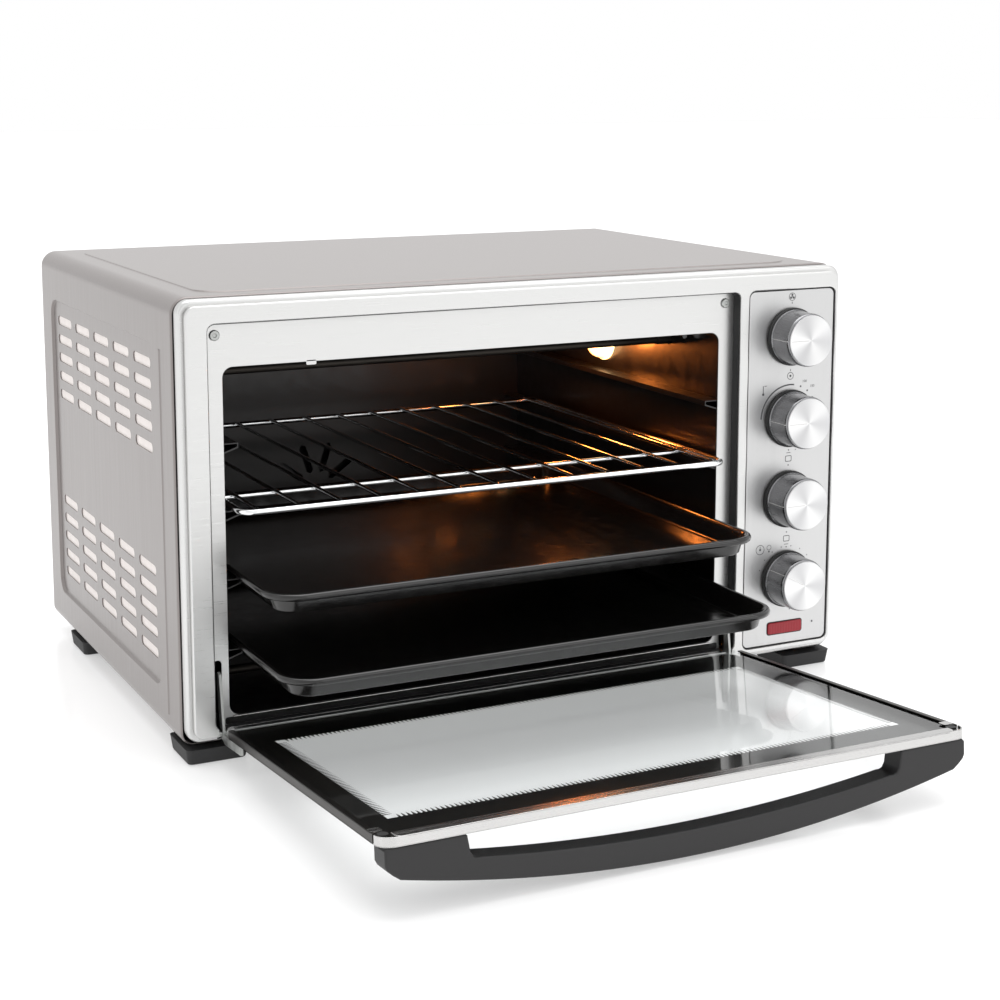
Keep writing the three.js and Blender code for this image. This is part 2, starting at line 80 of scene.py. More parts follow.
# Which way an outline's u, v and its depth w run: seen from the front, seen from the side.
FRONT = Matrix(((1, 0, 0, 0), (0, 0, 1, 0), (0, 1, 0, 0), (0, 0, 0, 1)))
SIDE = Matrix(((0, 0, 1, 0), (1, 0, 0, 0), (0, 1, 0, 0), (0, 0, 0, 1)))

hinge = JOINTS["door_hinge"]
open_angle = math.radians(hinge["range_deg"][1])
door_place = (
    Matrix.Translation(Vector(hinge["pos_m"]))
    @ Matrix.Rotation(open_angle, 4, "X")
    @ Matrix.Scale(MM, 4)
)
CENTRE = (hinge["pos_m"][0] - datum.x) / MM  # middle of the door and cavity


# ---- camera ------------------------------------------------------------------------------
def make_camera():
    data = bpy.data.cameras.new("camera")
    camera = bpy.data.objects.new("camera", data)
    bpy.context.scene.collection.objects.link(camera)
    data.lens = 69.3
    data.shift_x, data.shift_y = 0.0101, -0.12
    turn, tilt = math.radians(26.175), math.radians(9.227)
    camera.location = datum + Vector((-692.1, -1321.6, 497.4)) * MM
    camera.rotation_euler = (math.pi / 2 - tilt, 0, -turn)
    data.clip_end = 60
    bpy.context.scene.camera = camera


make_camera()
bpy.context.scene.view_settings.view_transform = "Standard"


# ---- materials ---------------------------------------------------------------------------
def linear(code):
    """An sRGB hex value as linear red, green, blue and alpha."""
    channels = [int(code[i : i + 2], 16) / 255 for i in (1, 3, 5)]
    curve = [c / 12.92 if c <= 0.04045 else ((c + 0.055) / 1.055) ** 2.4 for c in channels]
    return (*curve, 1.0)


def add_node(tree, kind, links=(), settings=(), **attributes):
    """One node: attributes by name, (socket, value) settings and (socket, output socket) links."""
    node = tree.nodes.new(kind)
    for name, value in attributes.items():
        setattr(node, name, value)
    for socket, value in settings:
        node.inputs[socket].default_value = value
    for socket, source in links:
        tree.links.new(source, node.inputs[socket])
    return node


def new_material(name, color, roughness, metallic=0.0, shader=()):
    """A material with its Principled shader set; returns it with its tree and shader node."""
    material = bpy.data.materials.new(name)
    material.use_nodes = True
    tree = material.node_tree
    surface = tree.nodes["Principled BSDF"]
    surface.inputs["Base Color"].default_value = linear(color)
    surface.inputs["Roughness"].default_value = roughness
    surface.inputs["Metallic"].default_value = metallic
    for socket, value in shader:
        surface.inputs[socket].default_value = value
    return material, tree, surface


def streaks(tree, across_mm, along_mm, axis, detail=3.0):
    """Noise drawn out along one axis, as a brush leaves it: across_mm apart, along_mm long."""
    place = add_node(tree, "ShaderNodeTexCoord")
    scale = [1 / (across_mm * MM)] * 3
    scale["XYZ".index(axis)] = 1 / (along_mm * MM)
    stretch = add_node(tree, "ShaderNodeMapping", [("Vector", place.outputs["Object"])],
                       [("Scale", scale)])
    return add_node(tree, "ShaderNodeTexNoise", [("Vector", stretch.outputs["Vector"])],
                    [("Scale", 1.0), ("Detail", detail), ("Roughness", 0.6)])


def grain(tree, size_mm, detail=2.0):
    """Even noise with lumps of about size_mm."""
    place = add_node(tree, "ShaderNodeTexCoord")
    return add_node(tree, "ShaderNodeTexNoise", [("Vector", place.outputs["Object"])],
                    [("Scale", 1 / (size_mm * MM)), ("Detail", detail)])


def vary(tree, source, low, high, target):
    """The noise from source sets target between two values."""
    ramp = add_node(tree, "ShaderNodeMapRange", [("Value", source.outputs["Fac"])],
                    [("From Min", 0.3), ("From Max", 0.7), ("To Min", low), ("To Max", high)])
    tree.links.new(ramp.outputs["Result"], target)


def tint(tree, source, dark, light, surface):
    """The noise from source turns the base colour between two close shades."""
    mix = add_node(tree, "ShaderNodeMix", [("Factor", source.outputs["Fac"])], data_type="RGBA")
    mix.inputs[6].default_value = linear(dark)
    mix.inputs[7].default_value = linear(light)
    tree.links.new(mix.outputs[2], surface.inputs["Base Color"])


def emboss(tree, source, depth_mm, surface, strength=1.0):
    """Bump of a real depth from the noise in source."""
    bump = add_node(tree, "ShaderNodeBump", [("Height", source.outputs["Fac"])],
                    [("Strength", strength), ("Distance", depth_mm * MM)])
    tree.links.new(bump.outputs["Normal"], surface.inputs["Normal"])


def brushed_stainless(name, color, roughness, axis):
    """Stainless sheet with a brushed grain: reflections smear across the grain. The real grain is
    about 0.1 mm apart, drawn 0.5 mm so that it shows."""
    material, tree, surface = new_material(name, color, roughness, 1.0)
    brush = streaks(tree, 0.5, 60, axis)
    vary(tree, brush, roughness - 0.07, roughness + 0.09, surface.inputs["Roughness"])
    emboss(tree, brush, 0.004, surface, 0.35)
    return material


def case_finish():
    """Cold-rolled sheet with a champagne grey tint under clear lacquer: soft, broad highlights over
    a fine vertical grain, and a pale mirror at a low angle."""
    material, tree, surface = new_material("satin_lacquered_sheet", "#857F7D", 0.38, 0.65,
                                           [("Coat Weight", 0.4), ("Coat Roughness", 0.16)])
    brush = streaks(tree, 0.9, 90, "Z")
    tint(tree, brush, "#7F7977", "#8B8583", surface)
    vary(tree, brush, 0.36, 0.48, surface.inputs["Roughness"])
    emboss(tree, brush, 0.003, surface, 0.3)
    return material


def enamel(name, color, roughness, speckle):
    """Vitreous enamel fired on steel: glossy glass with a slight orange-peel and tiny pale flecks."""
    material, tree, surface = new_material(name, color, roughness, 0.0,
                                           [("IOR", 1.5), ("Coat Weight", 0.25),
                                            ("Coat Roughness", 0.12)])
    peel = grain(tree, 9.0, 1.0)
    fleck = grain(tree, 1.2, 1.0)
    tint(tree, fleck, color, speckle, surface)
    vary(tree, peel, roughness - 0.04, roughness + 0.06, surface.inputs["Roughness"])
    emboss(tree, peel, 0.02, surface, 0.08)
    return material


def moulded(name, color, light, roughness):
    """Injection-moulded ABS with a spark-eroded matt texture: grain of 0.3 mm, drawn 0.7 mm."""
    material, tree, surface = new_material(name, color, roughness, 0.0, [("IOR", 1.53)])
    texture = grain(tree, 0.7)
    tint(tree, texture, color, light, surface)
    vary(tree, texture, roughness - 0.06, roughness + 0.06, surface.inputs["Roughness"])
    emboss(tree, texture, 0.02, surface, 0.5)
    return material


def zinc_plate():
    """Zinc-plated mild steel: dull bluish grey with cloudy spangle of 6 mm."""
    material, tree, surface = new_material("zinc_plated_steel", "#B4B6B4", 0.42, 1.0)
    spangle = grain(tree, 6.0, 4.0)
    tint(tree, spangle, "#9DA09F", "#C6C7C4", surface)
    vary(tree, spangle, 0.34, 0.5, surface.inputs["Roughness"])
    return material


def vent_liner():
    """Pale matt liner sheet with a faint cloud of 12 mm; its pale colour in the slots is a painted
    highlight for the light the louvres catch.
    """
    material, tree, surface = new_material("vent_painted_highlight_liner", "#E6DEDA", 0.5, 0.15)
    cloud = grain(tree, 12.0)
    tint(tree, cloud, "#DDD5D1", "#EFE8E5", surface)
    return material


def chrome_plate():
    """Bright nickel-chrome plate on drawn wire: a near mirror with faint drawing lines."""
    material, tree, surface = new_material("chrome_plated_wire", "#E8E9EA", 0.12, 1.0)
    lines = grain(tree, 1.5)
    vary(tree, lines, 0.08, 0.2, surface.inputs["Roughness"])
    return material


def spun_aluminium():
    """Diamond-turned aluminium: rings 0.25 mm apart, drawn 0.7 mm. Three soft brighter wedges
    round the middle are painted into the base colour: a painted highlight fan."""
    material, tree, surface = new_material("spun_aluminium", "#D4D4D4", 0.3, 1.0,
                                           [("Anisotropic", 0.85)])
    place = add_node(tree, "ShaderNodeTexCoord")
    rings = add_node(tree, "ShaderNodeTexWave", [("Vector", place.outputs["Object"])],
                     [("Scale", 1 / (0.7 * MM) / 6.283), ("Distortion", 0.0)],
                     wave_type="RINGS", rings_direction="Y")
    bump = add_node(tree, "ShaderNodeBump", [("Height", rings.outputs["Fac"])],
                    [("Strength", 0.12), ("Distance", 0.02 * MM)])
    tree.links.new(bump.outputs["Normal"], surface.inputs["Normal"])
    tangent = add_node(tree, "ShaderNodeTangent", direction_type="RADIAL", axis="Y")
    tree.links.new(tangent.outputs["Tangent"], surface.inputs["Tangent"])
    # Painted highlight: the base colour swings from grey to pale grey three times round the axis, in
    # place of the fanned reflection.
    flatten = add_node(tree, "ShaderNodeMapping", [("Vector", place.outputs["Object"])],
                       [("Rotation", (math.pi / 2, 0, 0.45))])
    around = add_node(tree, "ShaderNodeTexGradient", [("Vector", flatten.outputs["Vector"])],
                      gradient_type="RADIAL")
    turns = add_node(tree, "ShaderNodeMath", [(0, around.outputs["Fac"])], [(1, 6 * math.pi)],
                     operation="MULTIPLY")
    painted_highlight_wedges = add_node(tree, "ShaderNodeMath", [(0, turns.outputs["Value"])], operation="SINE")
    share = add_node(tree, "ShaderNodeMapRange", [("Value", painted_highlight_wedges.outputs["Value"])], [("From Min", -1)])
    mix = add_node(tree, "ShaderNodeMix", [("Factor", share.outputs["Result"])], data_type="RGBA")
    mix.inputs[6].default_value = linear("#C4C4C5")
    mix.inputs[7].default_value = linear("#E2E2E2")
    tree.links.new(mix.outputs[2], surface.inputs["Base Color"])
    return material


def metallised_skirt():
    """Vacuum-metallised ABS under smoked lacquer: dark chrome round the knob's side."""
    material, tree, surface = new_material("smoked_metallised_plastic", "#8A8A8C", 0.24, 1.0)
    haze = streaks(tree, 1.2, 24, "Y", 1.0)
    vary(tree, haze, 0.2, 0.28, surface.inputs["Roughness"])
    return material


def glass(name, color, roughness=0.02):
    """Soda-lime glass: each face lets most light straight through and mirrors the rest, more at a
    low angle; wiped smudges of 60 mm soften the mirror a little."""
    material = bpy.data.materials.new(name)
    material.use_nodes = True
    tree = material.node_tree
    tree.nodes.clear()
    smudge = grain(tree, 60.0)
    clear = add_node(tree, "ShaderNodeBsdfTransparent", settings=[("Color", linear(color))])
    mirror = add_node(tree, "ShaderNodeBsdfGlossy", settings=[("Color", linear("#FFFFFF"))])
    vary(tree, smudge, roughness, roughness + 0.04, mirror.inputs["Roughness"])
    angle = add_node(tree, "ShaderNodeFresnel", settings=[("IOR", 1.52)])
    side = add_node(tree, "ShaderNodeNewGeometry")
    entering = add_node(tree, "ShaderNodeMath", operation="SUBTRACT", use_clamp=True)
    tree.links.new(angle.outputs["Fac"], entering.inputs[0])
    tree.links.new(side.outputs["Backfacing"], entering.inputs[1])
    mix = add_node(tree, "ShaderNodeMixShader", [("Fac", entering.outputs["Value"])])
    tree.links.new(clear.outputs["BSDF"], mix.inputs[1])
    tree.links.new(mirror.outputs["BSDF"], mix.inputs[2])
    add_node(tree, "ShaderNodeOutputMaterial", [("Surface", mix.outputs["Shader"])])
    return material


def frit():
    """Black ceramic ink fired onto the glass: dense, slightly warm black with a soft gloss."""
    material, tree, surface = new_material("black_ceramic_frit", "#0E0C0B", 0.35, 0.0, [("IOR", 1.5)])
    mottle = grain(tree, 5.0)
    tint(tree, mottle, "#0B0A09", "#15120F", surface)
    return material


def printed_ink():
    """Screen-printed grey ink: flat, hardly any gloss, with uneven cover at 1 mm."""
    material, tree, surface = new_material("screen_printed_ink", "#4A4A4C", 0.6)
    cover = grain(tree, 1.0)
    tint(tree, cover, "#434345", "#565658", surface)
    return material


def lens_red():
    """Red polycarbonate over a neon lamp: deep colour, lit from inside, with prism ribs of 1.4 mm."""
    material, tree, surface = new_material("red_polycarbonate", "#86101E", 0.3, 0.0,
                                           [("IOR", 1.58), ("Specular IOR Level", 0.35)])
    surface.inputs["Emission Color"].default_value = linear("#C8303C")
    surface.inputs["Emission Strength"].default_value = 0.12
    place = add_node(tree, "ShaderNodeTexCoord")
    ribs = add_node(tree, "ShaderNodeTexWave", [("Vector", place.outputs["Object"])],
                    [("Scale", 1 / (1.4 * MM) / 6.283)])
    bump = add_node(tree, "ShaderNodeBump", [("Height", ribs.outputs["Fac"])],
                    [("Strength", 0.4), ("Distance", 0.3 * MM)])
    tree.links.new(bump.outputs["Normal"], surface.inputs["Normal"])
    return material


def glowing_bulb():
    """Frosted tungsten bulb, switched on: warm white that burns out in the middle."""
    material, tree, surface = new_material("lit_frosted_glass", "#FFD9A0", 0.5)
    surface.inputs["Emission Color"].default_value = linear("#FF9A3C")
    surface.inputs["Emission Strength"].default_value = 30.0
    frost = grain(tree, 3.0)
    tint(tree, frost, "#FFCF90", "#FFE4B8", surface)
    return material


def glowing_dome():
    """Thick lamp glass full of the bulb's light: warm yellow white, redder towards its rim."""
    material, tree, surface = new_material("lit_lamp_dome", "#FFD79A", 0.25, 0.0, [("IOR", 1.5)])
    rim = add_node(tree, "ShaderNodeLayerWeight", settings=[("Blend", 0.35)])
    mix = add_node(tree, "ShaderNodeMix", [("Factor", rim.outputs["Facing"])], data_type="RGBA")
    mix.inputs[6].default_value = linear("#FFDCA0")
    mix.inputs[7].default_value = linear("#FF8A28")
    tree.links.new(mix.outputs[2], surface.inputs["Emission Color"])
    surface.inputs["Emission Strength"].default_value = 5.0
    return material


def heater_sheath():
    """Oxidised nickel-alloy heater sheath: dark dull grey, blued and browned in bands by heat."""
    material, tree, surface = new_material("nickel_alloy_sheath", "#3E3B38", 0.5, 1.0)
    heat = streaks(tree, 30, 25, "X", 2.0)
    tint(tree, heat, "#2C2926", "#4C4844", surface)
    vary(tree, heat, 0.42, 0.58, surface.inputs["Roughness"])
    return material


def glazed_ceramic():
    """Glazed steatite: off-white and smooth, a little cloudy."""
    material, tree, surface = new_material("glazed_steatite", "#E6E0D4", 0.3, 0.0,
                                           [("Coat Weight", 0.4)])
    cloud = grain(tree, 8.0)
    tint(tree, cloud, "#DDD6C8", "#ECE7DC", surface)
    return material


STEEL_FACE = brushed_stainless("brushed_stainless_face", "#D2D2D1", 0.33, "X")
STEEL_PANEL = brushed_stainless("brushed_stainless_panel", "#C6C6C6", 0.36, "Z")
STEEL_TRIM = brushed_stainless("satin_stainless_trim", "#C2C1C0", 0.24, "X")
DARK_TRIM_AND_SHADE = brushed_stainless("dark_stainless_trim_and_painted_shade", "#3E3C3A", 0.34, "Y")
CASE_SHEET = case_finish()
ENAMEL_CAVITY = enamel("cavity_enamel", "#0F0E0E", 0.34, "#171615")
ENAMEL_TRAY = enamel("tray_enamel", "#0D0C0C", 0.2, "#141312")
ABS_HANDLE = moulded("matt_black_abs", "#161516", "#1C1B1C", 0.52)
BLACK_RUBBER_AND_SHADE = moulded("black_rubber_and_painted_shade", "#161617", "#1E1E1F", 0.62)
ZINC = zinc_plate()
CHROME = chrome_plate()
SPUN = spun_aluminium()
SKIRT = metallised_skirt()
DOOR_GLASS = glass("tempered_door_glass", "#FAFBFB")
LIT_DOME = glowing_dome()
FRIT = frit()
INK = printed_ink()
RED_LENS = lens_red()
LIT_BULB = glowing_bulb()
SHEATH = heater_sheath()
CERAMIC = glazed_ceramic()
LINER = vent_liner()


# ---- making pieces -----------------------------------------------------------------------
def finish_mesh(mesh, sharp=35):
    """Welds the seams, turns every face out and smooths all but the real edges."""
    work = bmesh.new()
    work.from_mesh(mesh)
    bmesh.ops.remove_doubles(work, verts=work.verts, dist=1e-4)
    bmesh.ops.dissolve_degenerate(work, edges=work.edges, dist=1e-5)
    bmesh.ops.recalc_face_normals(work, faces=work.faces)
    work.to_mesh(mesh)
    work.free()
    mesh.shade_smooth()
    mesh.set_sharp_from_angle(angle=math.radians(sharp))


def piece(name, mesh, place, material, body="root", replaces=(), sharp=35, origin=None):
    """A named object from a mesh in millimetres, put in place, finished and set riding on a body."""
    finish_mesh(mesh, sharp)
    mesh.transform(place)
    if place.determinant() < 0:
        mesh.flip_normals()
    obj = bpy.data.objects.new(name, mesh)
    if origin is not None:
        mesh.transform(Matrix.Translation(-origin))
        obj.location = origin
    bpy.context.scene.collection.objects.link(obj)
    mesh.materials.clear()
    mesh.materials.append(material)
    flat = obj.modifiers.new("flat_faces", "WEIGHTED_NORMAL")
    flat.keep_sharp = True
    bpy.context.view_layer.update()
    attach(obj, body)
    if replaces:
        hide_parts(*replaces)
    return obj


def front_piece(name, mesh, material, replaces=(), sharp=35):
    """A piece of the housing from a mesh drawn in front view."""
    mesh.transform(FRONT)
    return piece(name, mesh, DATUM, material, "root", replaces, sharp)


def mesh_of(vertices, faces):
    mesh = bpy.data.meshes.new("mesh")
    mesh.from_pydata([tuple(v) for v in vertices], [], faces)
    return mesh


def join_meshes(meshes):
    """Several meshes, all in the same units, as one."""
    vertices, faces = [], []
    for mesh in meshes:
        start = len(vertices)
        vertices += [v.co.copy() for v in mesh.vertices]
        faces += [[start + i for i in p.vertices] for p in mesh.polygons]
    return mesh_of(vertices, faces)


def rounded(u0, u1, v0, v1, radius, steps=8):
    """A rectangle's outline with round corners."""
    corners = [(u1 - radius, v0 + radius, -90), (u1 - radius, v1 - radius, 0),
               (u0 + radius, v1 - radius, 90), (u0 + radius, v0 + radius, 180)]
    points = []
    for cu, cv, start in corners:
        for i in range(steps + 1):
            angle = math.radians(start + 90 * i / steps)
            points.append((cu + radius * math.cos(angle), cv + radius * math.sin(angle)))
    return points


def cut(mesh, knives):
    """Takes blocks, each given as u0, u1, v0, v1, w0, w1, out of a closed mesh."""
    finish_mesh(mesh)
    collection = bpy.context.scene.collection
    body = bpy.data.objects.new("cut_body", mesh)
    collection.objects.link(body)
    tools = []
    for u0, u1, v0, v1, w0, w1 in knives:
        faces = [[(u0, v0, w), (u1, v0, w), (u1, v1, w), (u0, v1, w)] for w in (w0, w1)]
        block = stack(faces)
        finish_mesh(block)
        tool = bpy.data.objects.new("cut_tool", block)
        collection.objects.link(tool)
        tools.append(tool)
        difference = body.modifiers.new("notch", "BOOLEAN")
        difference.operation = "DIFFERENCE"
        difference.solver = "EXACT"
        difference.object = tool
    evaluated = body.evaluated_get(bpy.context.evaluated_depsgraph_get())
    result = bpy.data.meshes.new_from_object(evaluated)
    for obj in (body, *tools):
        bpy.data.objects.remove(obj)
    return result


def ring(cu, cv, radius, steps=40):
    return [(cu + radius * math.cos(2 * math.pi * i / steps),
             cv + radius * math.sin(2 * math.pi * i / steps)) for i in range(steps)]


def slab(loops, w0, w1, edge=0.0, edge_steps=3):
    """A flat plate from its outline and holes, between two depths, with rounded edges."""
    curve = bpy.data.curves.new("outline", "CURVE")
    curve.dimensions = "2D"
    curve.fill_mode = "BOTH"
    for loop in loops:
        spline = curve.splines.new("POLY")
        spline.points.add(len(loop) - 1)
        for point, (u, v) in zip(spline.points, loop):
            point.co = (u, v, 0, 1)
        spline.use_cyclic_u = True
    curve.extrude = (w1 - w0) / 2 - edge
    curve.bevel_depth = edge
    curve.bevel_resolution = edge_steps
    curve.offset = -edge
    holder = bpy.data.objects.new("outline", curve)
    mesh = bpy.data.meshes.new_from_object(holder)
    mesh.transform(Matrix.Translation((0, 0, (w0 + w1) / 2)))
    bpy.data.objects.remove(holder)
    bpy.data.curves.remove(curve)
    return mesh


def stack(rings, cap_first=True, cap_last=True):
    """Skins a row of outlines that have the same number of points."""
    count = len(rings[0])
    vertices = [v for outline in rings for v in outline]
    faces = []
    for level in range(len(rings) - 1):
        for i in range(count):
            j = (i + 1) % count
            a, b = level * count, (level + 1) * count
            faces.append([a + i, a + j, b + j, b + i])
    if cap_first:
        faces.append(list(range(count))[::-1])
    if cap_last:
        faces.append([(len(rings) - 1) * count + i for i in range(count)])
    return mesh_of(vertices, faces)


def turned(profile, steps=72):
    """A turned piece about w: the profile gives radius and w, from one end on the axis to the
    other."""
    rings = []
    for radius, w in profile:
        rings.append([(u, v, w) for u, v in ring(0, 0, max(radius, 0.001), steps)])
    return stack(rings)


def sweep(path, section, closed=False, flat_normal=None):
    """Carries a closed section of (sideways, up) points along a path of 3-D points."""
    count = len(path)
    rings = []
    up = Vector(flat_normal) if flat_normal else None
    for i, point in enumerate(path):
        before = path[(i - 1) % count] if closed or i else path[0]
        after = path[(i + 1) % count] if closed or i < count - 1 else path[-1]
        ahead = (Vector(after) - Vector(before)).normalized()
        if flat_normal:
            rise = up
        else:
            seed = Vector((0, 0, 1)) if abs(ahead.z) < 0.9 else Vector((1, 0, 0))
            rise = (seed - ahead * seed.dot(ahead)).normalized()
        side = ahead.cross(rise).normalized()
        rings.append([Vector(point) + side * s + rise * r for s, r in section])
    if closed:
        rings.append(rings[0])
    return stack(rings, not closed, not closed)


def wire(path, radius, closed=False, sides=12):
    return sweep(path, ring(0, 0, radius, sides), closed)


def bead(path, width, height, closed=False, normal=(0, 0, 1)):
    """A pressed bead: a low swell along a path, its edges sunk a hair under the sheet."""
    steps = 10
    section = []
    for i in range(steps + 1):
        s = -width / 2 + width * i / steps
        section.append((s, height * 0.5 * (1 + math.cos(2 * math.pi * s / width)) - 0.04))
    section += [(width / 2, -0.3), (-width / 2, -0.3)]
    return sweep(path, section, closed, normal)


def dress(node, material, edge=0.0, segments=2):
    """A CAD node that keeps its shape gets its finish, and a bevel on its edges."""
    obj = frame["nodes"][node]
    obj.data.materials.clear()
    obj.data.materials.append(material)
    if edge:
        bevel = obj.modifiers.new("edge", "BEVEL")
        bevel.width = edge * MM
        bevel.segments = segments
        bevel.limit_method = "ANGLE"
        bevel.angle_limit = math.radians(40)
        bevel.harden_normals = False
    return obj


# ---- case --------------------------------------------------------------------------------
case_low, case_high = span("outer_case")
SWELL = 0.8  # how far the pressed lid and the side beads stand proud of the flat sheet
CASE_HALF = case_high.x - SWELL
PRESSED = 2.4  # depth of the vented side panels
CASE_FRONT, CASE_BACK = case_low.y, case_high.y
VENT_COLUMNS = [101.5 + 59.8 * i for i in range(5)]
VENT_ROWS = [49.8 + 16.4 * i for i in range(5)] + [211.4 + 16.4 * i for i in range(5)]


def case_profile():
    """Half-open wrap: bottom flange, side, rounded top and down the other side."""
    top_r, low_r = 14 - SWELL, 10
    bottom, top = case_low.z, case_high.z - SWELL
    points = [(-CASE_HALF + 30, bottom)]
    arcs = [(-CASE_HALF + low_r, bottom + low_r, low_r, 270, 180),
            (-CASE_HALF + top_r, case_high.z - 14, top_r, 180, 90),
            (CASE_HALF - top_r, case_high.z - 14, top_r, 90, 0),
            (CASE_HALF - low_r, bottom + low_r, low_r, 0, -90)]
    for cu, cv, radius, start, end in arcs:
        for i in range(13):
            angle = math.radians(start + (end - start) * i / 12)
            points.append((cu + radius * math.cos(angle), cv + radius * math.sin(angle)))
    points.append((CASE_HALF - 30, bottom))
    return points


def wrap_mesh():
    """The bent sheet, 0.8 mm thick, without its flat sides and lid, which are pressed plates."""
    outer = case_profile()
    thick = 0.8
    inner = []
    for i, point in enumerate(outer):
        before, after = outer[max(i - 1, 0)], outer[min(i + 1, len(outer) - 1)]
        du, dv = after[0] - before[0], after[1] - before[1]
        size = math.hypot(du, dv)
        inner.append((point[0] + dv / size * thick, point[1] - du / size * thick))
    meshes = []
    for strip in (range(0, 14), range(14, 27), range(27, 40), range(40, 54)):
        section = [outer[i] for i in strip] + [inner[i] for i in reversed(strip)]
        front = [(u, CASE_FRONT + 3, v) for u, v in section]
        back = [(u, CASE_BACK, v) for u, v in section]
        meshes.append(stack([front, back]))
    return meshes


def front_lip():
    """The wrap's front edge rolls inwards to meet the bezel."""
    section = [(0, -3), (0.05, -1.7), (0.3, -0.8), (0.7, -0.25), (1.2, 0), (1.5, -0.1),
               (1.5, -0.8), (1.2, -0.9), (0.95, -1.3), (0.8, -2), (0.8, -3)]
    path = [(u, CASE_FRONT, v) for u, v in case_profile()]
    return sweep(path, section, False, (0, -1, 0))


def pressed_plate(outline, panel, holes, w_out, w_in, thick, slope):
    """A sheet whose panel is pressed from w_out to w_in round the panel's outline. Its three parts
    only touch, a hundredth apart, so that the flat ones shade flat."""
    hair = 0.004
    margin = slab([outline, panel(-hair)], *sorted((w_out, w_out + thick)))
    levels = []
    for i in range(9):
        share = i / 8
        levels.append((slope * share, (w_in - w_out) * 0.5 * (1 - math.cos(math.pi * share))))
    faces = [(inset, w_out + rise) for inset, rise in levels]
    faces += [(inset, w_out + rise + thick) for inset, rise in reversed(levels)]
    rings = [[(u, v, w) for u, v in panel(inset)] for inset, w in faces + faces[:1]]
    floor = slab([panel(slope + hair), *holes], *sorted((w_in, w_in + thick)))
    return join_meshes([margin, stack(rings, False, False), floor])


def vent_slot(y, z):
    return rounded(y - 23.2, y + 23.2, z - 4, z + 4, 3.9, 5)


def build_case():
    low, high = case_low.z + 10, case_high.z - 14
    meshes = wrap_mesh() + [front_lip()]
    side = [(CASE_FRONT + 3, low), (CASE_BACK, low), (CASE_BACK, high), (CASE_FRONT + 3, high)]
    slots = [vent_slot(y, z) for y in VENT_COLUMNS for z in VENT_ROWS]
    for sign in (-1, 1):
        plate = pressed_plate(side, lambda inset: rounded(63 + inset, 380 - inset, 27 + inset,
                                                          295 - inset, 15 - inset, 8),
                              slots, sign * CASE_HALF, sign * (CASE_HALF - PRESSED), -0.8 * sign, 1.8)
        plate.transform(SIDE)
        meshes.append(plate)
        upright = [(sign * CASE_HALF, 46.5, 12 + 280 * i / 20) for i in range(21)]
        meshes.append(bead(upright, 6.0, 0.75, False, (sign, 0, 0)))
    lid = [(-CASE_HALF + 13.2, CASE_FRONT + 3), (CASE_HALF - 13.2, CASE_FRONT + 3),
           (CASE_HALF - 13.2, CASE_BACK), (-CASE_HALF + 13.2, CASE_BACK)]
    top = case_high.z - SWELL
    meshes.append(pressed_plate(lid, lambda inset: rounded(-CASE_HALF + 28 + inset,
                                                           CASE_HALF - 28 - inset, 34 + inset,
                                                           388 - inset, 24 - inset, 8),
                                [], top, top + SWELL - 0.05, -0.8, 1.2))
    piece("case_wrap", join_meshes(meshes), DATUM, CASE_SHEET, replaces=["outer_case"],
          sharp=38)


# Pale liner sheets stand just inside the side vents and fill the slots with a painted highlight.
def build_vent_liners():
    for name, x in (("left", -CASE_HALF + PRESSED + 0.95), ("right", CASE_HALF - PRESSED - 1.75)):
        sheet = slab([rounded(70, 376, 34, 290, 6)], x, x + 0.8, 0.2)
        sheet.transform(SIDE)
        piece("vent_liner_" + name, sheet, DATUM, LINER)


def build_rear_cover():
    low, high = span("rear_cover")

    def pan_outline(inset):
        side, end = 9 + inset, 5 + inset
        return rounded(low.x + side, high.x - side, low.z + end, high.z - end, 12)

    flange = slab([rounded(low.x, high.x, low.z, high.z, 10)], low.y, low.y + 0.8, 0.2)
    flange.transform(FRONT)
    levels = [(0, 0), (1.2, 1.6), (5.6, 7.0), (7.2, 9.6), (9.0, 11.0), (11.5, 11.5)]
    deep = (high.y - low.y - 0.5) / 11.5
    rings = [[(u, low.y + 0.5 + depth * deep, v) for u, v in pan_outline(inset)]
             for inset, depth in levels]
    bulge = stack(rings, False, False)
    inset = levels[-1][0] + 0.004  # a hair inside the bulge, so that the flat face shades flat
    plate = [pan_outline(inset)]
    for row in range(4):
        for column in range(6):
            u, v = -200 + column * 62, 225 + row * 18
            plate.append(rounded(u - 22, u + 22, v - 3.5, v + 3.5, 3.4, 5))
    plate.append(ring(235, 42, 8.6))
    face = slab(plate, high.y - 0.8, high.y)
    face.transform(FRONT)
    piece("rear_pan", join_meshes([flange, bulge, face]), DATUM, ZINC, replaces=["rear_cover"],
          sharp=30)
    bolts = []
    for u in (low.x + 7, high.x - 7):
        for v in (20, 165, 310):
            head = turned([(0, 0), (3.2, 0), (3.6, 0.8), (3.1, 1.9), (1.5, 2.4), (0, 2.4)], 20)
            head.transform(Matrix.Translation((u, low.y + 0.8, v)) @ FRONT)
            bolts.append(head)
    piece("rear_cover_screws", join_meshes(bolts), DATUM, ZINC)


def build_foot(node):
    """A moulded foot: nearly upright sides, round corners and a softened tread."""
    low, high = span(node)
    rings = []
    for inset, z in ((7, low.z), (3.4, low.z), (2.6, low.z + 0.3), (2.1, low.z + 1.2),
                     (0.8, high.z - 0.4), (0.6, high.z)):
        box = rounded(low.x + inset, high.x - inset, low.y + inset, high.y - inset, 4, 5)
        rings.append([(u, v, z) for u, v in box])
    piece(node + "_pad", stack(rings), DATUM, BLACK_RUBBER_AND_SHADE, replaces=[node])


build_case()
build_vent_liners()
build_rear_cover()
dress("base_plate", ZINC)
dress("cord_gland", BLACK_RUBBER_AND_SHADE, 0.6)
for corner in ("front_left", "front_right", "back_left", "back_right"):
    build_foot("foot_" + corner)


